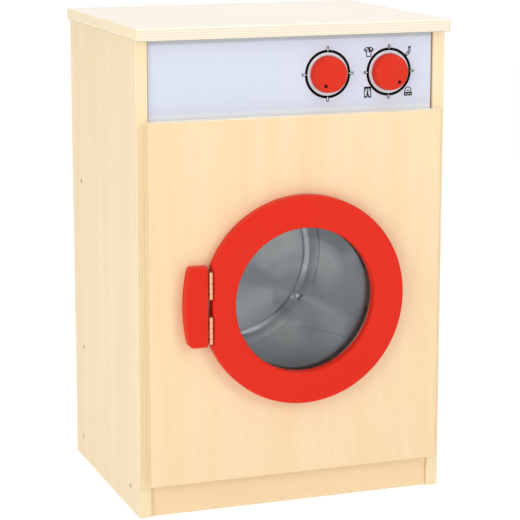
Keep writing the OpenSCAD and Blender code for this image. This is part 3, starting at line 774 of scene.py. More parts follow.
def screwSpots(node):
    # centre of each screw's head in a node, found from the node's own separate solids
    bm = bmesh.new()
    bm.from_mesh(cadNodes[node].data)
    bmesh.ops.remove_doubles(bm, verts=bm.verts, dist=1e-6)
    spots, seen = [], set()
    for start in bm.verts:
        if start in seen:
            continue
        island, queue = [], [start]
        seen.add(start)
        while queue:
            vert = queue.pop()
            island.append(vert.co.copy())
            for edge in vert.link_edges:
                other = edge.other_vert(vert)
                if other not in seen:
                    seen.add(other)
                    queue.append(other)
        spots.append(headOf(island))
    bm.free()
    return spots


def headOf(island):
    low = Vector([min(p[i] for p in island) for i in range(3)])
    high = Vector([max(p[i] for p in island) for i in range(3)])
    size, middle = high - low, (low + high) / 2
    axis = max(range(3), key=lambda i: size[i])
    others = [i for i in range(3) if i != axis]

    def spread(atHigh):
        edge = high[axis] if atHigh else low[axis]
        near = [p for p in island if abs(p[axis] - edge) < 0.05 * mm]
        return max((abs(p[i] - middle[i]) for p in near for i in others), default=0)

    sign = 1 if spread(True) > spread(False) else -1
    head, facing = middle.copy(), Vector((0, 0, 0))
    head[axis] = high[axis] if sign > 0 else low[axis]
    facing[axis] = sign
    return head, facing


def newTree(name, sockets):
    tree = bpy.data.node_groups.new(name, "GeometryNodeTree")
    tree.interface.new_socket("Geometry", in_out="OUTPUT", socket_type="NodeSocketGeometry")
    for label, kind in sockets:
        tree.interface.new_socket(label, in_out="INPUT", socket_type="NodeSocket" + kind)
    return tree, addNode(tree, "NodeGroupInput").outputs


def finishTree(tree, geometry, material):
    real = addNode(tree, "GeometryNodeRealizeInstances", {"Geometry": geometry})
    dressed = addNode(tree, "GeometryNodeSetMaterial", {"Geometry": real.outputs[0],
                                                        "Material": material})
    addNode(tree, "NodeGroupOutput", {0: dressed.outputs[0]})


def runTree(piece, tree, values):
    modifier = piece.modifiers.new(tree.name, "NODES")
    modifier.node_group = tree
    for item in tree.interface.items_tree:
        if item.in_out == "INPUT" and item.name in values:
            modifier[item.identifier] = values[item.name]
    makePlain(piece)


def screwTree(look):
    tree, given = newTree("crossHeadScrews", [
        ("Geometry", "Geometry"), ("Head Radius", "Float"), ("Head Height", "Float"),
        ("Shank Radius", "Float"), ("Length", "Float"), ("Turn Seed", "Int"),
        ("Material", "Material")])
    head = addNode(tree, "GeometryNodeMeshCone", {
        "Vertices": look["headSides"], "Side Segments": 1, "Radius Top": given["Head Radius"],
        "Radius Bottom": given["Shank Radius"], "Depth": given["Head Height"]})
    lowered = addNode(tree, "GeometryNodeTransform", {
        "Geometry": head.outputs["Mesh"],
        "Translation": liftBy(tree, calc(tree, "MULTIPLY", given["Head Height"], -1.0))})
    slotLength = calc(tree, "MULTIPLY", given["Head Radius"], look["crossLength"])
    slotWidth = calc(tree, "MULTIPLY", given["Head Radius"], look["crossWidth"])
    slots = []
    for wide, high in ((slotLength, slotWidth), (slotWidth, slotLength)):
        size = addNode(tree, "ShaderNodeCombineXYZ", {0: wide, 1: high,
                                                      2: given["Head Height"]})
        slots.append(addNode(tree, "GeometryNodeMeshCube", {"Size": size.outputs[0]}))
    recess = addNode(tree, "GeometryNodeMeshBoolean", {"Mesh 1": lowered.outputs[0]},
                     operation="DIFFERENCE")
    for cube in slots:
        tree.links.new(cube.outputs["Mesh"], recess.inputs["Mesh 2"])
    shankLength = calc(tree, "SUBTRACT", given["Length"], given["Head Height"])
    shank = addNode(tree, "GeometryNodeMeshCone", {
        "Vertices": look["shankSides"], "Side Segments": 1, "Radius Top": given["Shank Radius"],
        "Radius Bottom": calc(tree, "MULTIPLY", given["Shank Radius"], look["tipShare"]),
        "Depth": shankLength})
    sunk = addNode(tree, "GeometryNodeTransform", {
        "Geometry": shank.outputs["Mesh"],
        "Translation": liftBy(tree, calc(tree, "MULTIPLY", given["Length"], -1.0))})
    screw = addNode(tree, "GeometryNodeJoinGeometry")
    for part in (sunk.outputs[0], recess.outputs["Mesh"]):
        tree.links.new(part, screw.inputs[0])
    facing = addNode(tree, "GeometryNodeInputNamedAttribute", {"Name": "facing"},
                     data_type="FLOAT_VECTOR")
    turned = addNode(tree, "FunctionNodeAlignRotationToVector",
                     {"Vector": facing.outputs["Attribute"]}, axis="Z")
    points = addNode(tree, "GeometryNodeMeshToPoints", {"Mesh": given["Geometry"]})
    placed = addNode(tree, "GeometryNodeInstanceOnPoints", {
        "Points": points.outputs[0], "Instance": screw.outputs[0],
        "Rotation": turned.outputs[0]})
    twist = addNode(tree, "FunctionNodeRandomValue", {"Seed": given["Turn Seed"]},
                    data_type="FLOAT_VECTOR")
    twist.inputs["Min"].default_value = (0.0, 0.0, 0.0)
    twist.inputs["Max"].default_value = (0.0, 0.0, math.pi / 2)
    spun = addNode(tree, "GeometryNodeRotateInstances", {
        "Instances": placed.outputs[0], "Rotation": twist.outputs[0]})
    finishTree(tree, spun.outputs[0], given["Material"])
    return tree


def liftBy(tree, height):
    return addNode(tree, "ShaderNodeCombineXYZ", {2: height}).outputs[0]


def makeScrews(tree, node, body, kind, slotName, material, sunk, seed):
    headRadius, headHeight, shankRadius, length = (value * mm for value in screwKinds[kind])
    bm = bmesh.new()
    facing = bm.verts.layers.float_vector.new("facing")
    for head, direction in screwSpots(node):
        bm.verts.new(head - direction * sunk)[facing] = direction
    screws = newPiece(node + "_set", bm)
    runTree(screws, tree, {"Head Radius": headRadius, "Head Height": headHeight,
                           "Shank Radius": shankRadius, "Length": length,
                           "Turn Seed": seed, "Material": material})
    mountPiece(screws, body, slotName, node)


# Door: ring, window, hinges

doorLook = {"innerRadius": 90 * mm, "flat": 119.6 * mm, "frontEase": 3 * mm, "backEase": 0.8 * mm,
            "rebateRadius": 97.3 * mm, "rebateDepth": 3.1 * mm, "rebateEase": 0.2 * mm,
            "segments": 256, "strikeRadius": 6.15 * mm, "strikeDepth": 1.6 * mm}


def makeDoorRing(look, material):
    thickness = ringHigh.y - ringLow.y
    cornerTurn = math.acos(look["flat"] / ringRadius)
    cornerAngles = (math.pi - cornerTurn, math.pi + cornerTurn)

    def section(angle):
        outer = ringRadius
        if cornerAngles[0] <= angle <= cornerAngles[1]:
            outer = look["flat"] / -math.cos(angle)
        corners = [(look["rebateRadius"], 0, look["rebateEase"]), (outer, 0, look["backEase"]),
                   (outer, thickness, look["frontEase"]),
                   (look["innerRadius"], thickness, look["frontEase"]),
                   (look["innerRadius"], look["rebateDepth"], look["rebateEase"]),
                   (look["rebateRadius"], look["rebateDepth"], look["rebateEase"])]
        return asPairs(roundedOutline(corners, steps=6))

    bm = bmesh.new()
    sweepRound(bm, section, roundAngles(look["segments"], cornerAngles),
               frontPlace(doorX, ringHigh.y, doorZ))
    closeUp(bm)
    ring = newPiece("door_ring_turned", bm, material)
    plateLow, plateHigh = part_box("catch_plate")
    cutter = bmesh.new()
    addCylinder(cutter, look["strikeRadius"], look["strikeDepth"] * 2,
                frontPlace((plateLow.x + plateHigh.x) / 2, ringHigh.y, doorZ), 64)
    cutAway(ring, newPiece("strikeCutter", cutter))
    smoothPiece(ring)
    mountPiece(ring, "door", "red_lacquer", "door_ring")


def makeWindow(look, material):
    low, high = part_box("door_window")
    radius, thickness = (high.z - low.z) / 2, high.y - low.y
    edge = roundedOutline([(0, 0, 0), (radius, 0, look["edgeEase"]),
                           (radius, thickness, look["edgeEase"]), (0, thickness, 0)], steps=3)
    window = turnedPiece("window_pane", asPairs(edge), frontPlace(doorX, high.y, doorZ), material,
                         segments=look["segments"])
    smoothPiece(window)
    mountPiece(window, "door", "clear_acrylic", "door_window")


blockLook = {"outerRadius": 198 * mm, "leftmost": -154.3 * mm, "topCorner": 3.5 * mm,
             "bottomCorner": 5.5 * mm, "rise": 0.9 * mm, "frontEase": 2.4 * mm,
             "backEase": 0.6 * mm, "arcSteps": 18}


def makeHingeBlock(look, material):
    low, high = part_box("hinge_block")
    halfHeight = (high.z - low.z) / 2
    reach = look["outerRadius"]
    innerX = high.x - doorX
    spread = math.asin(halfHeight / reach)
    steps = look["arcSteps"]
    arc = [(look["leftmost"] + reach * (1 + math.cos(a)), reach * math.sin(a))
           for a in (math.pi - spread + 2 * spread * k / steps for k in range(steps + 1))]
    corners = [(innerX, halfHeight, 0), (*arc[0], look["topCorner"])]
    corners += [(x, y, 0) for x, y in arc[2:-2]]        # leaves room for the rounded corners
    corners += [(*arc[-1], look["bottomCorner"]), (innerX, -halfHeight, 0)]
    block = slab("hinge_block_shaped", roundedOutline(corners), 0, high.y - low.y,
                 look["backEase"], look["frontEase"],
                 frontPlace(doorX, high.y, doorZ + look["rise"]), material, steps=6, square=innerX)
    smoothPiece(block)
    mountPiece(block, "cabinet", "red_lacquer", "hinge_block")


hingeLook = {
    "knuckles": 5, "radius": 2.25 * mm, "gap": 0.25 * mm, "chamfer": 0.35 * mm,
    "sheet": 1.2 * mm, "plateDepth": 6 * mm, "edge": 0.15 * mm,
    "webNear": 0.7 * mm, "webFar": 1.9 * mm, "webFront": 0.6 * mm,      # measured from the pin's axis
    "woodGap": 0.1 * mm, "pinRadius": 1.5 * mm, "pinProud": 0.5 * mm,
}


def addBox(bm, one, other, edge):
    low = Vector([min(pair) for pair in zip(one, other)])
    high = Vector([max(pair) for pair in zip(one, other)])
    made = bmesh.ops.create_cube(bm, size=1.0, matrix=Matrix.Translation((low + high) / 2)
                                 @ Matrix.Diagonal(high - low).to_4x4())
    edges = {line for vert in made["verts"] for line in vert.link_edges}
    bmesh.ops.bevel(bm, geom=list(edges), offset=edge, segments=2, profile=0.5, affect="EDGES")


def makeHinge(level, look, material, pinMaterial):
    # two leaves whose knuckles take turns on one pin
    pinLow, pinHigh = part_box(level + "_hinge_pin")
    pinX, pinY = (pinLow.x + pinHigh.x) / 2, (pinLow.y + pinHigh.y) / 2
    pinLength = pinHigh.z - pinLow.z
    pitch = pinLength / look["knuckles"]
    plateY = pinY + look["plateDepth"]
    for leaf, body, own in (("fixed", "cabinet", 0), ("door", "door", 1)):
        node = f"{level}_hinge_{leaf}_leaf"
        low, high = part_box(node)
        bm = bmesh.new()
        woodX = low.x if leaf == "fixed" else high.x
        inward = math.copysign(1, pinX - woodX)
        addBox(bm, (woodX, plateY, pinLow.z), (woodX + inward * look["sheet"], high.y, pinHigh.z),
               look["edge"])
        webX = pinX - inward * look["webNear"]
        for index in range(own, look["knuckles"], 2):
            foot = pinLow.z + index * pitch + look["gap"] / 2
            head = foot + pitch - look["gap"]
            knuckle = roundedOutline([(0, 0, 0), (look["radius"], 0, look["chamfer"]),
                                      (look["radius"], head - foot, look["chamfer"]),
                                      (0, head - foot, 0)], steps=3)
            sweepRound(bm, lambda angle: asPairs(knuckle), roundAngles(40),
                       Matrix.Translation((pinX, pinY, foot)), closed=False)
            addBox(bm, (pinX - inward * look["webFar"], pinY + look["webFront"], foot),
                   (webX, plateY + look["sheet"], head), look["edge"])
            addBox(bm, (woodX + inward * look["woodGap"], plateY, foot),
                   (webX, plateY + look["sheet"], head), look["edge"])
        closeUp(bm)
        piece = newPiece(node + "_folded", bm, material)
        smoothPiece(piece, 40)
        mountPiece(piece, body, "brass", node)
    proud, radius = look["pinProud"], look["pinRadius"]
    profile = roundedOutline([(0, -proud, 0), (radius, -proud, proud),
                              (radius, pinLength + proud, proud), (0, pinLength + proud, 0)], steps=3)
    pin = turnedPiece(level + "_hinge_pin_turned", asPairs(profile),
                      Matrix.Translation((pinX, pinY, pinLow.z)), pinMaterial, segments=32)
    smoothPiece(pin)
    mountPiece(pin, "cabinet", "zinc_steel", level + "_hinge_pin")


# Drum: its pressed face is one sheet whose height follows a rule

drumLook = {
    "Rings": 64, "Spokes": 720,
    "Rim Radius": 90.5 * mm, "Rim Rise": 5 * mm, "Dish Power": 1.7, "Floor Depth": 5.2 * mm,
    "Hub Radius": 3.4 * mm, "Hub Foot": 8 * mm, "Hub Height": -0.6 * mm,
    "Rib Fade": 0.35, "Crease Depth": 0.8 * mm, "Crease Width": 1.3 * mm, "Crest Round": 0.10,
    "Arch Down": -270 * mm, "Arch Left": -28 * mm, "Arch Radius": 231 * mm, "Arch Share": 0.15,
    "Arch Dullness": 0.9,
    "sheet": 1.1 * mm,
    "archRise": (-14, 0), "archFall": (70, 58),         # mm across the drum, where the arch fades
    # mm along a rib from the drum's axis, where its form, lines and painted light and shade set in
    "roofStart": (-5, 3), "creaseStart": (6, 16), "toneStart": (0, 8), "sheenStart": (7, 12),
    "hubEnd": (14, 44),
    # the painted light and shade across a rib, with painted dark lines of shade at its feet: widths in
    # mm, the rest as shares
    "crestBlur": 0.4, "steepLine": (1.6, 0.4), "broadLine": (0.9, 0.2),
    "steepDark": 1.3, "broadDark": 0.7, "steepShare": 0.6,
    # a rib's heading is in degrees, its bend, feet and height in mm; turns is 1 where it bends to the
    # left, -1 to the right and 0 where it is straight. crease is how deep the lines at its feet are and
    # how dark the painted shade in them is on the broad side, the last two how bright the painted light
    # on its steep side is at the rim and at the hub, all three as shares
    "ribs": (
        {"heading": 85.5, "turns": 1, "bend": 101, "left": 6.4, "right": 15, "height": 4.0,
         "crease": 1.0, "paintedFlankLight": 0.85, "paintedFlankLightHub": -0.5},
        {"heading": 207.8, "turns": -1, "bend": 96.5, "left": 13.5, "right": 6.2, "height": 4.0,
         "crease": 0.6, "paintedFlankLight": -0.5, "paintedFlankLightHub": 1.6},
        {"heading": 328.5, "turns": 0, "bend": 0, "left": 9, "right": 13, "height": 0.6,
         "crease": 0.0, "paintedFlankLight": 0.0, "paintedFlankLightHub": 0.0},
    ),
}


def drumTree(look):
    tree, given = newTree("pressedDrum", [
        ("Rings", "Int"), ("Spokes", "Int"), ("Material", "Material")]
        + [(name, "Float") for name in look if name[0].isupper() and name not in ("Rings", "Spokes")])
    grid = addNode(tree, "GeometryNodeMeshGrid", {"Size X": 1.0, "Size Y": 1.0,
                                                  "Vertices X": given["Rings"],
                                                  "Vertices Y": given["Spokes"]})
    split = addNode(tree, "ShaderNodeSeparateXYZ",
                    {0: addNode(tree, "GeometryNodeInputPosition").outputs[0]})
    share = calc(tree, "ADD", split.outputs[0], 0.5)
    radius = calc(tree, "MULTIPLY", share, given["Rim Radius"])
    angle = calc(tree, "MULTIPLY", calc(tree, "ADD", split.outputs[1], 0.5), 2 * math.pi)
    across = calc(tree, "MULTIPLY", radius, calc(tree, "COSINE", angle))
    upward = calc(tree, "MULTIPLY", radius, calc(tree, "SINE", angle))
    spot = addNode(tree, "ShaderNodeCombineXYZ", {0: across, 1: upward}).outputs[0]

    dish = calc(tree, "SUBTRACT",
                calc(tree, "MULTIPLY", calc(tree, "POWER", share, given["Dish Power"]),
                     calc(tree, "ADD", given["Rim Rise"], given["Floor Depth"])),
                given["Floor Depth"])
    fade = calc(tree, "SUBTRACT", 1.0, calc(tree, "MULTIPLY", calc(tree, "MULTIPLY", share, share),
                                            given["Rib Fade"]))
    lift, creases, paintedRibShading = 0.0, 0.0, 0.0
    for shape in look["ribs"]:
        distance, along = ribDistance(tree, spot, shape)
        if shape["turns"]:
            paintedRibShading = calc(tree, "ADD", paintedRibShading, paintRibShading(tree, look, distance, along, shape))
        rib = calc(tree, "MULTIPLY", ribRoof(tree, given, distance, along, shape),
                   shape["height"] * mm)
        crease = calc(tree, "MULTIPLY", ribCrease(tree, given, distance, along, shape),
                      shape["crease"])
        lift = calc(tree, "MAXIMUM", lift, rib)
        creases = calc(tree, "MAXIMUM", creases, crease)
    # one more pressed line, an arch low in the drum, darkened with painted shade
    archCentre = addNode(tree, "ShaderNodeCombineXYZ", {0: given["Arch Left"],
                                                        1: given["Arch Down"]}).outputs[0]
    fromArch = calc(tree, "SUBTRACT", vectorCalc(tree, "DISTANCE", spot, archCentre,
                                                 answer="Value"), given["Arch Radius"])
    arch = pressedLine(tree, given, fromArch)
    arch = calc(tree, "MULTIPLY", arch, remapMm(tree, across, look["archRise"]))
    arch = calc(tree, "MULTIPLY", arch, remapMm(tree, across, look["archFall"]))
    creases = calc(tree, "MAXIMUM", creases, calc(tree, "MULTIPLY", arch, given["Arch Share"]))
    paintedRibShading = calc(tree, "SUBTRACT", paintedRibShading, calc(tree, "MULTIPLY", arch, given["Arch Dullness"]))
    height = calc(tree, "ADD", dish, calc(tree, "MULTIPLY", lift, fade))
    height = calc(tree, "SUBTRACT", height, calc(tree, "MULTIPLY", creases, given["Crease Depth"]))
    hubShare = remap(tree, radius, given["Hub Radius"], given["Hub Foot"], 1.0, 0.0)
    height = calc(tree, "ADD", calc(tree, "MULTIPLY", given["Hub Height"], hubShare),
                  calc(tree, "MULTIPLY", height, calc(tree, "SUBTRACT", 1.0, hubShare)))
    # the painted light and shade of the ribs and the arch, kept on the mesh for the steel's colour
    marked = addNode(tree, "GeometryNodeStoreNamedAttribute", {
        "Geometry": grid.outputs["Mesh"], "Name": "paintedRibShading", "Value": paintedRibShading},
        data_type="FLOAT", domain="POINT")
    moved = addNode(tree, "GeometryNodeSetPosition", {
        "Geometry": marked.outputs[0],
        "Position": addNode(tree, "ShaderNodeCombineXYZ", {0: across, 1: upward,
                                                           2: height}).outputs[0]})
    joined = addNode(tree, "GeometryNodeMergeByDistance", {"Geometry": moved.outputs[0],
                                                           "Distance": 0.00001})
    finishTree(tree, joined.outputs[0], given["Material"])
    return tree


def remapMm(tree, value, span, toLow=0.0, toHigh=1.0):
    return remap(tree, value, span[0] * mm, span[1] * mm, toLow, toHigh)


def ribDistance(tree, spot, shape):
    # how far a spot lies to the right of the rib's crest, and how far out along the rib
    heading, bendRadius, turns = math.radians(shape["heading"]), shape["bend"] * mm, shape["turns"]
    outward = (math.cos(heading), math.sin(heading), 0.0)
    along = vectorCalc(tree, "DOT_PRODUCT", spot, outward, answer="Value")
    if turns == 0:
        rightward = (outward[1], -outward[0], 0.0)
        return vectorCalc(tree, "DOT_PRODUCT", spot, rightward, answer="Value"), along
    start = heading - turns * math.asin(drumLook["Rim Radius"] / 2 / bendRadius)
    toCentre = start + turns * math.pi / 2
    centre = (math.cos(toCentre) * bendRadius, math.sin(toCentre) * bendRadius, 0.0)
    away = vectorCalc(tree, "DISTANCE", spot, centre, answer="Value")
    return calc(tree, "MULTIPLY", calc(tree, "SUBTRACT", away, bendRadius), float(turns)), along


def ribRoof(tree, given, distance, along, shape):
    # 1 on the crest, 0 at the rib's foot on either side
    leftShare = calc(tree, "DIVIDE", distance, -shape["left"] * mm)
    rightShare = calc(tree, "DIVIDE", distance, shape["right"] * mm)
    share = calc(tree, "MAXIMUM", leftShare, rightShare)
    rounded = calc(tree, "SQRT", calc(tree, "ADD", calc(tree, "MULTIPLY", share, share),
                                      calc(tree, "MULTIPLY", given["Crest Round"],
                                           given["Crest Round"])))
    roof = calc(tree, "SUBTRACT", calc(tree, "ADD", 1.0, given["Crest Round"]), rounded, clamp=True)
    return calc(tree, "MULTIPLY", roof, remapMm(tree, along, drumLook["roofStart"]))


def pressedLine(tree, given, distance):
    narrow = calc(tree, "DIVIDE", calc(tree, "ABSOLUTE", distance), given["Crease Width"])
    return calc(tree, "SUBTRACT", 1.0, narrow, clamp=True)


def ribCrease(tree, given, distance, along, shape):
    # a fine pressed line along both feet of a rib
    leftFoot = pressedLine(tree, given, calc(tree, "ADD", distance, shape["left"] * mm))
    rightFoot = pressedLine(tree, given, calc(tree, "SUBTRACT", distance, shape["right"] * mm))
    begun = remapMm(tree, along, drumLook["creaseStart"])
    return calc(tree, "MULTIPLY", calc(tree, "MAXIMUM", leftFoot, rightFoot), begun)


def paintRibShading(tree, look, distance, along, shape):
    # a bent rib gets painted light on its steep side, painted shade on its broad side near the crest,
    # and a painted dark line of shade along either foot
    steep = distance if shape["turns"] > 0 else calc(tree, "MULTIPLY", distance, -1.0)
    steepFoot, broadFoot = ((-shape["left"], shape["right"]) if shape["turns"] > 0
                            else (-shape["right"], shape["left"]))
    blur = look["crestBlur"]
    onSteep = calc(tree, "MULTIPLY",
                   remapMm(tree, steep, (steepFoot, steepFoot * look["steepShare"])),
                   remapMm(tree, steep, (blur, -blur)))
    onBroad = calc(tree, "MULTIPLY", remapMm(tree, steep, (broadFoot, 0.0)),
                   remapMm(tree, steep, (-blur, blur)))
    paintedFlankLight = remapMm(tree, along, look["hubEnd"], float(shape["paintedFlankLightHub"]), float(shape["paintedFlankLight"]))
    paintedFlankLight = calc(tree, "MULTIPLY", paintedFlankLight, remapMm(tree, along, look["sheenStart"]))
    tone = calc(tree, "SUBTRACT", calc(tree, "MULTIPLY", onSteep, paintedFlankLight), onBroad)
    for foot, widths, dark in ((steepFoot, look["steepLine"], look["steepDark"]),
                               (broadFoot, look["broadLine"], look["broadDark"] * shape["crease"])):
        fromFoot = calc(tree, "ABSOLUTE", calc(tree, "SUBTRACT", steep, foot * mm))
        line = remapMm(tree, fromFoot, widths)
        tone = calc(tree, "SUBTRACT", tone, calc(tree, "MULTIPLY", line, dark))
    return calc(tree, "MULTIPLY", tone, remapMm(tree, along, look["toneStart"]))


def makeDrum(look, material):
    pan = newPiece("drum_pressed_face", bmesh.new())
    values = {key: value for key, value in look.items() if key[0].isupper()}
    runTree(pan, drumTree(look), {**values, "Material": material})
    pan.data.transform(frontPlace(doorX, frontHigh.y, doorZ))
    bm = bmesh.new()
    bm.from_mesh(pan.data)
    bmesh.ops.recalc_face_normals(bm, faces=bm.faces)
    if sum(face.normal.y for face in bm.faces) > 0:
        bmesh.ops.reverse_faces(bm, faces=bm.faces)
    bm.to_mesh(pan.data)
    bm.free()
    wall = pan.modifiers.new("sheet", "SOLIDIFY")
    wall.thickness, wall.offset = look["sheet"], -1.0
    makePlain(pan)
    smoothPiece(pan, 50)
    mountPiece(pan, "drum", "drum_steel", "drum_pan")


axleLook = {
    "boltRadius": 2.7 * mm, "tailRadius": 2.3 * mm, "tailTaper": 0.5 * mm, "domeRise": 2.4 * mm,
    "domeSteps": 8, "tubeBore": 2.75 * mm, "neckRadius": 3.3 * mm,
    "shoulder": (5 * mm, 6 * mm),                       # where the tube narrows, from its back end
    "tubeFront": -1.9 * mm,                             # stays under the pressed face
}


def makeAxleBolt(look, material):
    tail = frontHigh.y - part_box("drum_axle_bolt")[1].y
    face, radius = drumLook["Hub Height"], look["boltRadius"]
    section = [(0, tail), (look["tailRadius"], tail), (radius, tail + look["tailTaper"]),
               (radius, face)]
    section += [(radius * math.cos(a), look["domeRise"] * math.sin(a) + face)
                for a in (math.pi / 2 * k / look["domeSteps"]
                          for k in range(1, look["domeSteps"] + 1))]
    bolt = turnedPiece("drum_axle_bolt_domed", section, frontPlace(doorX, frontHigh.y, doorZ),
                       material, segments=48)
    smoothPiece(bolt)
    mountPiece(bolt, "drum", "zinc_steel", "drum_axle_bolt")


def makeHubTube(look, material):
    low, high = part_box("drum_hub_tube")
    back, radius = frontHigh.y - high.y, (high.x - low.x) / 2
    bore, neck, front = look["tubeBore"], look["neckRadius"], look["tubeFront"]
    wideEnd, neckStart = (back + reach for reach in look["shoulder"])
    section = [(bore, back), (radius, back), (radius, wideEnd), (neck, neckStart), (neck, front),
               (bore, front)]
    tube = turnedPiece("drum_hub_tube_turned", section, frontPlace(doorX, frontHigh.y, doorZ),
                       material, segments=48, closed=True)
    smoothPiece(tube)
    mountPiece(tube, "drum", "zinc_steel", "drum_hub_tube")


# Knobs and the printed dials behind them

knobLook = {"backInset": 0.8 * mm, "backEase": 0.8 * mm, "faceRadius": 21.5 * mm, "ease": 3 * mm,
            "dome": 0.35 * mm, "domeSteps": 8, "dotRadius": 2.1 * mm, "dotProud": 0.15 * mm,
            "dotEase": 0.2 * mm}
dialLook = {"ringInner": 26.4 * mm, "ringOuter": 29.8 * mm, "discInner": 6 * mm,
            "discRadius": 27.2 * mm, "tickInner": 27.6 * mm, "tickOuter": 33.8 * mm,
            "tickWidth": 1.2 * mm, "tickLine": 1.05 * mm, "tickCorner": 0.3 * mm,
            "pinHead": 1.7 * mm, "pinShare": 0.6, "pinDot": 0.38,
            "ink": 1.1 * mm, "fineShare": 0.8, "bubble": 0.62 * mm,
            "film": 0.06 * mm, "filmEase": 0.02 * mm}


def makeKnob(side, look, red, black):
    low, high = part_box(side + "_knob")
    middleX, middleZ = (low.x + high.x) / 2, (low.z + high.z) / 2
    backRadius, thickness = (high.x - low.x) / 2 - look["backInset"], high.y - low.y
    place = frontPlace(middleX, high.y, middleZ)
    rim = roundedOutline([(0, 0, 0), (backRadius, 0, look["backEase"]),
                          (look["faceRadius"], thickness - look["dome"], look["ease"]),
                          (0, thickness - look["dome"], 0)], steps=8)
    section = asPairs(rim)[:-1]
    flatRadius = section[-1][0]
    outwards = [1 - k / look["domeSteps"] for k in range(1, look["domeSteps"] + 1)]
    section += [(flatRadius * out, thickness - look["dome"] * out ** 2) for out in outwards]
    knob = turnedPiece(side + "_knob_turned", section, place, red, segments=128)
    smoothPiece(knob)
    mountPiece(knob, side + "_dial", "red_lacquer", side + "_knob")
    dotLow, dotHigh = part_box(side + "_knob_dot")
    dotX, dotZ = (dotLow.x + dotHigh.x) / 2, (dotLow.z + dotHigh.z) / 2
    top = dotHigh.y - dotLow.y + look["dotProud"]
    dotEdge = roundedOutline([(0, 0, 0), (look["dotRadius"], 0, 0),
                              (look["dotRadius"], top, look["dotEase"]), (0, top, 0)], steps=3)
    dot = turnedPiece(side + "_knob_dot_plug", asPairs(dotEdge), frontPlace(dotX, dotHigh.y, dotZ),
                      black, segments=40)
    smoothPiece(dot)
    mountPiece(dot, side + "_dial", "black_inlay", side + "_knob_dot")


def circle(radius, count):
    return [Vector((radius * math.cos(a), radius * math.sin(a))) for a in roundAngles(count)]


def bar(inner, outer, width, angle):
    turn = Matrix.Rotation(angle, 2)
    corners = [turn @ Vector(c) for c in ((inner, -width / 2), (outer, -width / 2),
                                          (outer, width / 2), (inner, width / 2))]
    return roundedOutline([(c.x, c.y, dialLook["tickCorner"]) for c in corners], steps=3)


def joinPieces(name, pieces):
    bm = bmesh.new()
    for piece in pieces:
        bm.from_mesh(piece.data)
    material = pieces[0].data.materials[0]
    for piece in pieces:
        bpy.data.objects.remove(piece)
    return newPiece(name, bm, material)


def inkLine(points, width, layer, place, material, closed=False):
    # a printed line of even width along the points, as flat strips with round ends
    flat = [Vector(p) for p in points]
    if closed:
        flat = flat + flat[:1]
    strips = []
    for start, end in zip(flat, flat[1:]):
        heading = math.atan2(end.y - start.y, end.x - start.x)
        outline = halfRound(end, heading, width) + halfRound(start, heading + math.pi, width)
        strips.append(film(outline, layer, place, material))
    return strips


def halfRound(centre, heading, width):
    turns = (heading + math.pi / 4 * k for k in range(-2, 3))
    return [centre + Vector((math.cos(turn), math.sin(turn))) * width / 2 for turn in turns]


def film(outline, layer, place, material):
    # layers lie on top of one another, each a printed film's thickness higher than the last
    lift = dialLook["film"] * layer
    return slab("film", outline, 0, lift, 0, dialLook["filmEase"], place, material, steps=1)


# Each pictogram: black lines and shapes and white dots, in mm about its own centre
pictograms = {
    "shirt": {
        "at": (-26.9, 25.2),
        "outline": [(-2.9, -5.6), (2.9, -5.6), (2.9, 1.6), (4.4, 0.6), (6.2, 2.9), (3.2, 5.4),
                    (-3.2, 5.4), (-6.2, 2.9), (-4.4, 0.6), (-2.9, 1.6)],
        "lines": [[(-5.3, 3.7), (-3.8, 2.0)], [(5.3, 3.7), (3.8, 2.0)],
                  [(-2.2, 1.8), (-1.0, 3.8)]],
        "solid": [[(-2.6, 5.9), (-1.9, 4.3), (0, 3.4), (1.9, 4.3), (2.6, 5.9)],
                  [(-0.2, 3.8), (1.9, 3.4), (2.6, 1.4), (1.2, -1.0), (0.0, -0.6), (-0.3, 1.4)]],
    },
    "sock": {
        "at": (25.6, 24.6),
        "outline": [(0.9, 5.2), (0.7, 0.8), (-0.6, -1.6), (-3.0, -3.2), (-3.6, -4.6), (-2.5, -5.7),
                    (-0.6, -5.0), (1.6, -2.8), (2.8, 0.2), (3.1, 5.2)],
        "lines": [[(-0.4, -1.3), (0.8, -2.1), (1.6, -2.8)]],
        "solid": [[(0.6, 6.0), (0.5, 3.9), (3.4, 3.9), (3.5, 6.0)]],
    },
    "trousers": {
        "at": (-28.0, -24.8),
        "outline": [(-4.1, 6.7), (-4.4, -6.0), (-1.2, -6.0), (0, 0.2), (1.2, -6.0), (4.4, -6.0),
                    (4.1, 6.7)],
        "lines": [[(0, 4.6), (0, 0.6)], [(-3.4, 4.0), (-1.7, 2.0)], [(3.4, 4.0), (1.7, 2.0)],
                  [(-4.3, -4.6), (-1.4, -4.6)], [(4.3, -4.6), (1.4, -4.6)]],
        "solid": [[(-4.3, 7.0), (-4.4, 4.6), (4.4, 4.6), (4.3, 7.0)],
                  [(-0.6, 1.6), (-1.8, -5.0), (-0.9, -6.2), (0, -2.2), (0.9, -6.2), (1.8, -5.0),
                   (0.6, 1.6)]],
    },
    "tub": {
        "at": (26.3, -25.4),
        "outline": [(-4.4, -1.4), (-4.0, 1.8), (-2.7, 4.4), (0, 5.5), (2.7, 4.4), (4.0, 1.8),
                    (4.4, -1.4)],
        "lines": [[(-1.6, 0.6), (0, 1.8), (1.6, 0.6)]],
        "solid": [[(-5.4, -0.9), (-5.4, -5.4), (5.4, -5.4), (5.4, -0.9)]],
        "dots": [(-3.4, -3.1), (-1.1, -3.5), (1.2, -3.1), (3.4, -3.5)],
    },
}


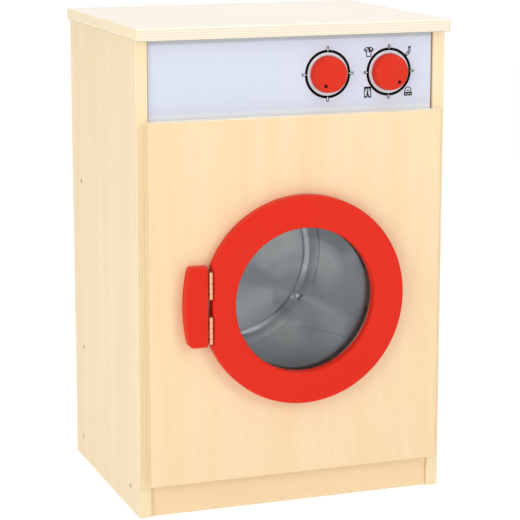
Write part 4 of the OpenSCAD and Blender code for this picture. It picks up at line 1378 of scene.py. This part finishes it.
def makePictogram(look, centre, white, black):
    place = centre @ Matrix.Translation((look["at"][0] * mm, look["at"][1] * mm, 0))

    def scaled(points):
        return [(x * mm, y * mm) for x, y in points]

    def outlineOf(points):
        flat = [Vector(p) for p in scaled(points)]
        area = sum(a.x * b.y - a.y * b.x for a, b in zip(flat, flat[1:] + flat[:1]))
        return flat if area > 0 else flat[::-1]

    ink = dialLook["ink"]
    fine = ink * dialLook["fineShare"]
    whites = []
    blacks = inkLine(scaled(look["outline"]), ink, 2, place, black, closed=True)
    for line in look["lines"]:
        blacks += inkLine(scaled(line), fine, 3, place, black)
    blacks += [film(outlineOf(shape), 4, place, black) for shape in look["solid"]]
    for x, y in look.get("dots", ()):
        dotPlace = place @ Matrix.Translation((x * mm, y * mm, 0))
        whites.append(film(circle(dialLook["bubble"], 16), 5, dotPlace, white))
    return whites, blacks


def makeTick(look, side, angle, centre, white, black):
    # a mark across the ring: a plain bar on the left dial, a pin with a round head on the right
    edge, width = look["tickLine"], look["tickWidth"]
    inner, outer = look["tickInner"], look["tickOuter"]
    if side == "left":
        whites = [film(bar(inner + edge / 2, outer - edge, width, angle), 6, centre, white)]
        blacks = [film(bar(inner, outer, width + 2 * edge, angle), 4, centre, black)]
        return whites, blacks
    neck, head, fine = outer - look["pinHead"], look["pinHead"], width * look["pinShare"]
    headPlace = centre @ Matrix.Rotation(angle, 4, "Z") @ Matrix.Translation((neck, 0, 0))
    whites = [film(bar(inner + edge / 2, neck - head, fine, angle), 6, centre, white),
              film(circle(head * look["pinDot"], 24), 7, headPlace, white)]
    blacks = [film(bar(inner, neck, fine + edge, angle), 4, centre, black),
              film(circle(head, 24), 5, headPlace, black)]
    return whites, blacks


def makeDials(look, white, black, paleInk):
    whites, blacks, discs = [], [], []
    for side in ("left", "right"):
        low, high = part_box(side + "_knob")
        centre = frontPlace((low.x + high.x) / 2, controlLow.y, (low.z + high.z) / 2)
        blacks.append(printedBand("ring", look["ringInner"], look["ringOuter"], 2, centre, black))
        drawn = [makeTick(look, side, quarter * math.pi / 2, centre, white, black)
                 for quarter in range(4)]
        if side == "right":
            drawn += [makePictogram(drawing, centre, white, black)
                      for drawing in pictograms.values()]
        for moreWhites, moreBlacks in drawn:
            whites += moreWhites
            blacks += moreBlacks
        discs.append(printedBand("disc", look["discInner"], look["discRadius"], 1, centre, paleInk))
    for name, pieces, slotName in (("dial_print_white", whites, "white_nylon"),
                                   ("dial_print_discs", discs, "white_nylon"),
                                   ("dial_print_black", blacks, "black_inlay")):
        printed = joinPieces(name, pieces)
        smoothPiece(printed)
        mountPiece(printed, "cabinet", slotName)


def printedBand(name, inner, outer, layer, centre, material):
    lift = dialLook["film"] * layer
    return turnedPiece(name, [(inner, 0), (outer, 0), (outer, lift), (inner, lift)], centre,
                       material, 160, closed=True)


# Floor

def makeFloor(look):
    material, tree, shader = newMaterial("paleFloor")
    position = addNode(tree, "ShaderNodeTexCoord").outputs["Object"]
    setSocket(tree, shader["Base Color"],
              mixColours(tree, noise(tree, position, 0.6, 2.0), grey(look["tone"]),
                         grey(look["tone"] + look["toneSpread"])))
    shader["Roughness"].default_value = look["roughness"]
    shader["Emission Color"].default_value = grey(255)
    away = vectorCalc(tree, "LENGTH", position, answer="Value")
    setSocket(tree, shader["Emission Strength"],
              remap(tree, away, look["near"], look["far"], look["glow"], look["farGlow"]))
    bm = bmesh.new()
    bmesh.ops.create_grid(bm, x_segments=8, y_segments=8, size=look["size"])
    floor = newPiece("studioFloor", bm, material)


# Run

makeCamera(cameraLook)
makeLights(lightLook)
makeFloor(floorLook)
print("camera, light and floor")

red = lacquer("redLacquer", lacquerLook)
knobRed = lacquer("knobLacquer", lacquerLook)
steel = metal("zincSteel")
brass = metal("polishedBrass", zAxis)
nickel = metal("nickelPlate")
spruceUpright = solidWood("spruceUpright", zAxis, 0.7)
spruceLying = solidWood("spruceLying", xAxis, 2.9)
beech = solidWood("beech", zAxis, 1.4)
black = flatInk("blackInk")
white = flatInk("whiteInk")
nylon = flatInk("whiteNylon")

makeBoards()
makeWorktop()
makeFrontPanel(frontLook)
makeControlPanel(facedBoard(facedLook))
print("boards")

makeDoorRing(doorLook, red)
makeWindow(windowLook, clearSheet(windowLook))
makeHingeBlock(blockLook, red)
for level in ("upper", "lower"):
    makeHinge(level, hingeLook, brass, steel)
print("door and hinges")

makeDrum(drumLook, spunSteel())
makeAxleBolt(axleLook, metal("satinSteel"))
makeHubTube(axleLook, steel)
print("drum")

for side in ("left", "right"):
    makeKnob(side, knobLook, knobRed, black)
makeDials(dialLook, white, black, flatInk("paleDiscInk"))
print("knobs and dials")

screws = screwTree(screwLook)
flush, sunken = -0.05 * mm, 0.9 * mm                    # how deep a head lies under its surface
screwSets = [
    ("side_panel_screws", "cabinet", "large", "zinc_steel", steel, sunken),
    ("front_cleat_screws", "cabinet", "medium", "zinc_steel", steel, flush),
    ("control_panel_screws", "cabinet", "medium", "zinc_steel", steel, flush),
    ("hinge_block_screws", "cabinet", "medium", "zinc_steel", steel, flush),
    ("drum_bridge_screws", "cabinet", "bridge", "zinc_steel", steel, flush),
    ("fixed_leaf_screws", "cabinet", "leaf", "brass", brass, flush),
    ("door_leaf_screws", "door", "leaf", "brass", brass, flush),
    ("window_screws", "door", "small", "zinc_steel", steel, flush),
    ("catch_plate_screw", "door", "leaf", "zinc_steel", steel, flush),
]
for number, (node, body, kind, slotName, material, depth) in enumerate(screwSets):
    makeScrews(screws, node, body, kind, slotName, material, depth, number)
print("screws")

nodeMaterials = {
    "left_front_cleat": spruceUpright, "right_front_cleat": spruceUpright,
    "control_panel_cleats": spruceUpright, "drum_bridge": spruceLying,
    "drum_bridge_spacers": spruceUpright, "worktop_dowels": beech, "plinth_dowels": beech,
    "left_knob_spindle": beech, "right_knob_spindle": beech, "catch_magnet": nickel,
    "catch_plate": steel, "drum_bushing": nylon,
    "drum_axle_washer": steel, "drum_axle_nut": steel, "left_knob_washer": steel,
    "right_knob_washer": steel, "left_knob_screw": steel, "right_knob_screw": steel,
}
for node, material in nodeMaterials.items():
    for materialSlot in cadNodes[node].material_slots:
        materialSlot.material = material
print("materials of the CAD nodes")
